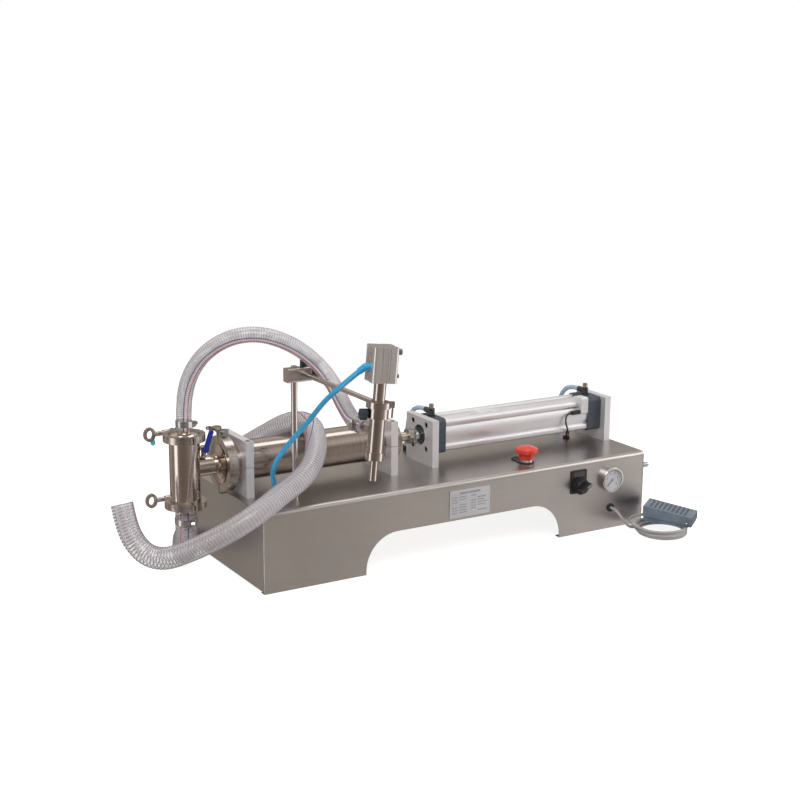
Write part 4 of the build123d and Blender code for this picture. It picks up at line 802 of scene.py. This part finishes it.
# ------------------------------------------------------------------ floor, light and surroundings
floor_mesh = bpy.data.meshes.new("floor")
FLOOR_RADIUS, FLOOR_SIDES, FLOOR_LEVEL = 1.15, 96, -0.0003
floor_rim = [(x, y, FLOOR_LEVEL) for x, y in disc(0, 0, FLOOR_RADIUS, FLOOR_SIDES)]
floor_mesh.from_pydata(floor_rim, [], [tuple(range(FLOOR_SIDES))])
floor = bpy.data.objects.new("floor", floor_mesh)
scene.collection.objects.link(floor)
floor_shader = Shader("pale_floor", (0.45, 0.45, 0.45), 0.0, 0.7, Specular_IOR_Level=0.1)
floor_shader.bsdf.inputs["Emission Color"].default_value = (1, 1, 1, 1)
floor_shader.bsdf.inputs["Emission Strength"].default_value = 0.84
# other rays pass through, so that the metals reflect the studio's surroundings and no glowing floor
unseen = floor_shader.node("MixShader")
floor_shader.join(floor_shader.node("LightPath").outputs["Is Camera Ray"], unseen.inputs["Fac"])
floor_shader.join(floor_shader.node("BsdfTransparent").outputs[0], unseen.inputs[1])
floor_shader.join(floor_shader.bsdf.outputs[0], unseen.inputs[2])
floor_shader.join(unseen.outputs[0], floor_shader.tree.nodes["Material Output"].inputs["Surface"])
floor_mesh.materials.append(floor_shader.material)


def softbox(name, place, target, size, power):
    """A large soft light at a place, facing a target."""
    data = bpy.data.lights.new(name, "AREA")
    data.shape = "RECTANGLE"
    data.size, data.size_y = size
    data.energy = power
    lamp = bpy.data.objects.new(name, data)
    lamp.location = place
    lamp.rotation_euler = (Vector(target) - Vector(place)).to_track_quat("-Z", "Y").to_euler()
    scene.collection.objects.link(lamp)


softbox("key", (-1.0, -1.8, 2.1), (0, 0, 0.15), (1.6, 1.0), 22)
softbox("fill", (1.9, -1.2, 1.3), (0.1, 0, 0.15), (1.2, 1.4), 9)
softbox("top", (0.1, 0.4, 2.3), (0, 0, 0.15), (2.2, 0.8), 11)

world = bpy.data.worlds.new("studio")
scene.world = world
world.use_nodes = True
tree = world.node_tree
tree.nodes.clear()


def grey_ramp(stops):
    """A ramp of warm greys, from (place, brightness) pairs."""
    made = tree.nodes.new("ShaderNodeValToRGB")
    elements = made.color_ramp.elements
    while len(elements) < len(stops):
        elements.new(0.5)
    for element, (place, level) in zip(elements, stops):
        warm = 0.18 * (1 - level) ** 2
        element.position = place
        element.color = (level * (1 + warm), level, level * (1 - warm), 1)
    return made


# brightness of the surroundings: once round the horizon from -X, and from straight down to straight up
AROUND = ((0.00, 1.00), (0.025, 0.80), (0.05, 0.12), (0.13, 0.085), (0.22, 0.095), (0.30, 0.15), (0.335, 0.19),
          (0.365, 0.36), (0.390, 0.46), (0.415, 1.00), (0.455, 1.00), (0.485, 0.20), (0.56, 0.065), (0.74, 0.08),
          (0.80, 0.12), (0.84, 0.22), (0.90, 0.13), (0.955, 0.15), (0.975, 0.80), (1.00, 1.00))
UPWARD = ((0.00, 0.12), (0.55, 0.13), (0.64, 0.165), (0.70, 0.27), (0.76, 0.38), (0.86, 0.35), (0.93, 0.22),
          (1.00, 0.20))
sky_coords = tree.nodes.new("ShaderNodeTexCoord")
sky_apart = tree.nodes.new("ShaderNodeSeparateXYZ")
sky_around = tree.nodes.new("ShaderNodeTexGradient")
sky_around.gradient_type = "RADIAL"
sky_level = tree.nodes.new("ShaderNodeMapRange")
sky_level.inputs["From Min"].default_value = -1
sky_blend = tree.nodes.new("ShaderNodeMapRange")
sky_blend.inputs["From Min"].default_value = -0.02
sky_blend.inputs["From Max"].default_value = 0.28
around_ramp, upward_ramp = grey_ramp(AROUND), grey_ramp(UPWARD)
sky_mix = tree.nodes.new("ShaderNodeMix")
sky_mix.data_type = "RGBA"
reflected = tree.nodes.new("ShaderNodeBackground")
reflected.inputs["Strength"].default_value = 1.8
seen = tree.nodes.new("ShaderNodeBackground")
seen.inputs["Color"].default_value = (1, 1, 1, 1)
ray = tree.nodes.new("ShaderNodeLightPath")
choose = tree.nodes.new("ShaderNodeMixShader")
output = tree.nodes.new("ShaderNodeOutputWorld")
for source, target in (
    (sky_coords.outputs["Generated"], sky_apart.inputs[0]),
    (sky_coords.outputs["Generated"], sky_around.inputs[0]),
    (sky_apart.outputs["Z"], sky_level.inputs["Value"]),
    (sky_apart.outputs["Z"], sky_blend.inputs["Value"]),
    (sky_around.outputs["Fac"], around_ramp.inputs["Fac"]),
    (sky_level.outputs[0], upward_ramp.inputs["Fac"]),
    (sky_blend.outputs[0], sky_mix.inputs["Factor"]),
    (around_ramp.outputs["Color"], sky_mix.inputs["A"]),
    (upward_ramp.outputs["Color"], sky_mix.inputs["B"]),
    (sky_mix.outputs["Result"], reflected.inputs["Color"]),
    (ray.outputs["Is Camera Ray"], choose.inputs["Fac"]),
    (reflected.outputs[0], choose.inputs[1]),
    (seen.outputs[0], choose.inputs[2]),
    (choose.outputs[0], output.inputs["Surface"]),
):
    tree.links.new(source, target)
scene.view_settings.view_transform = "Standard"
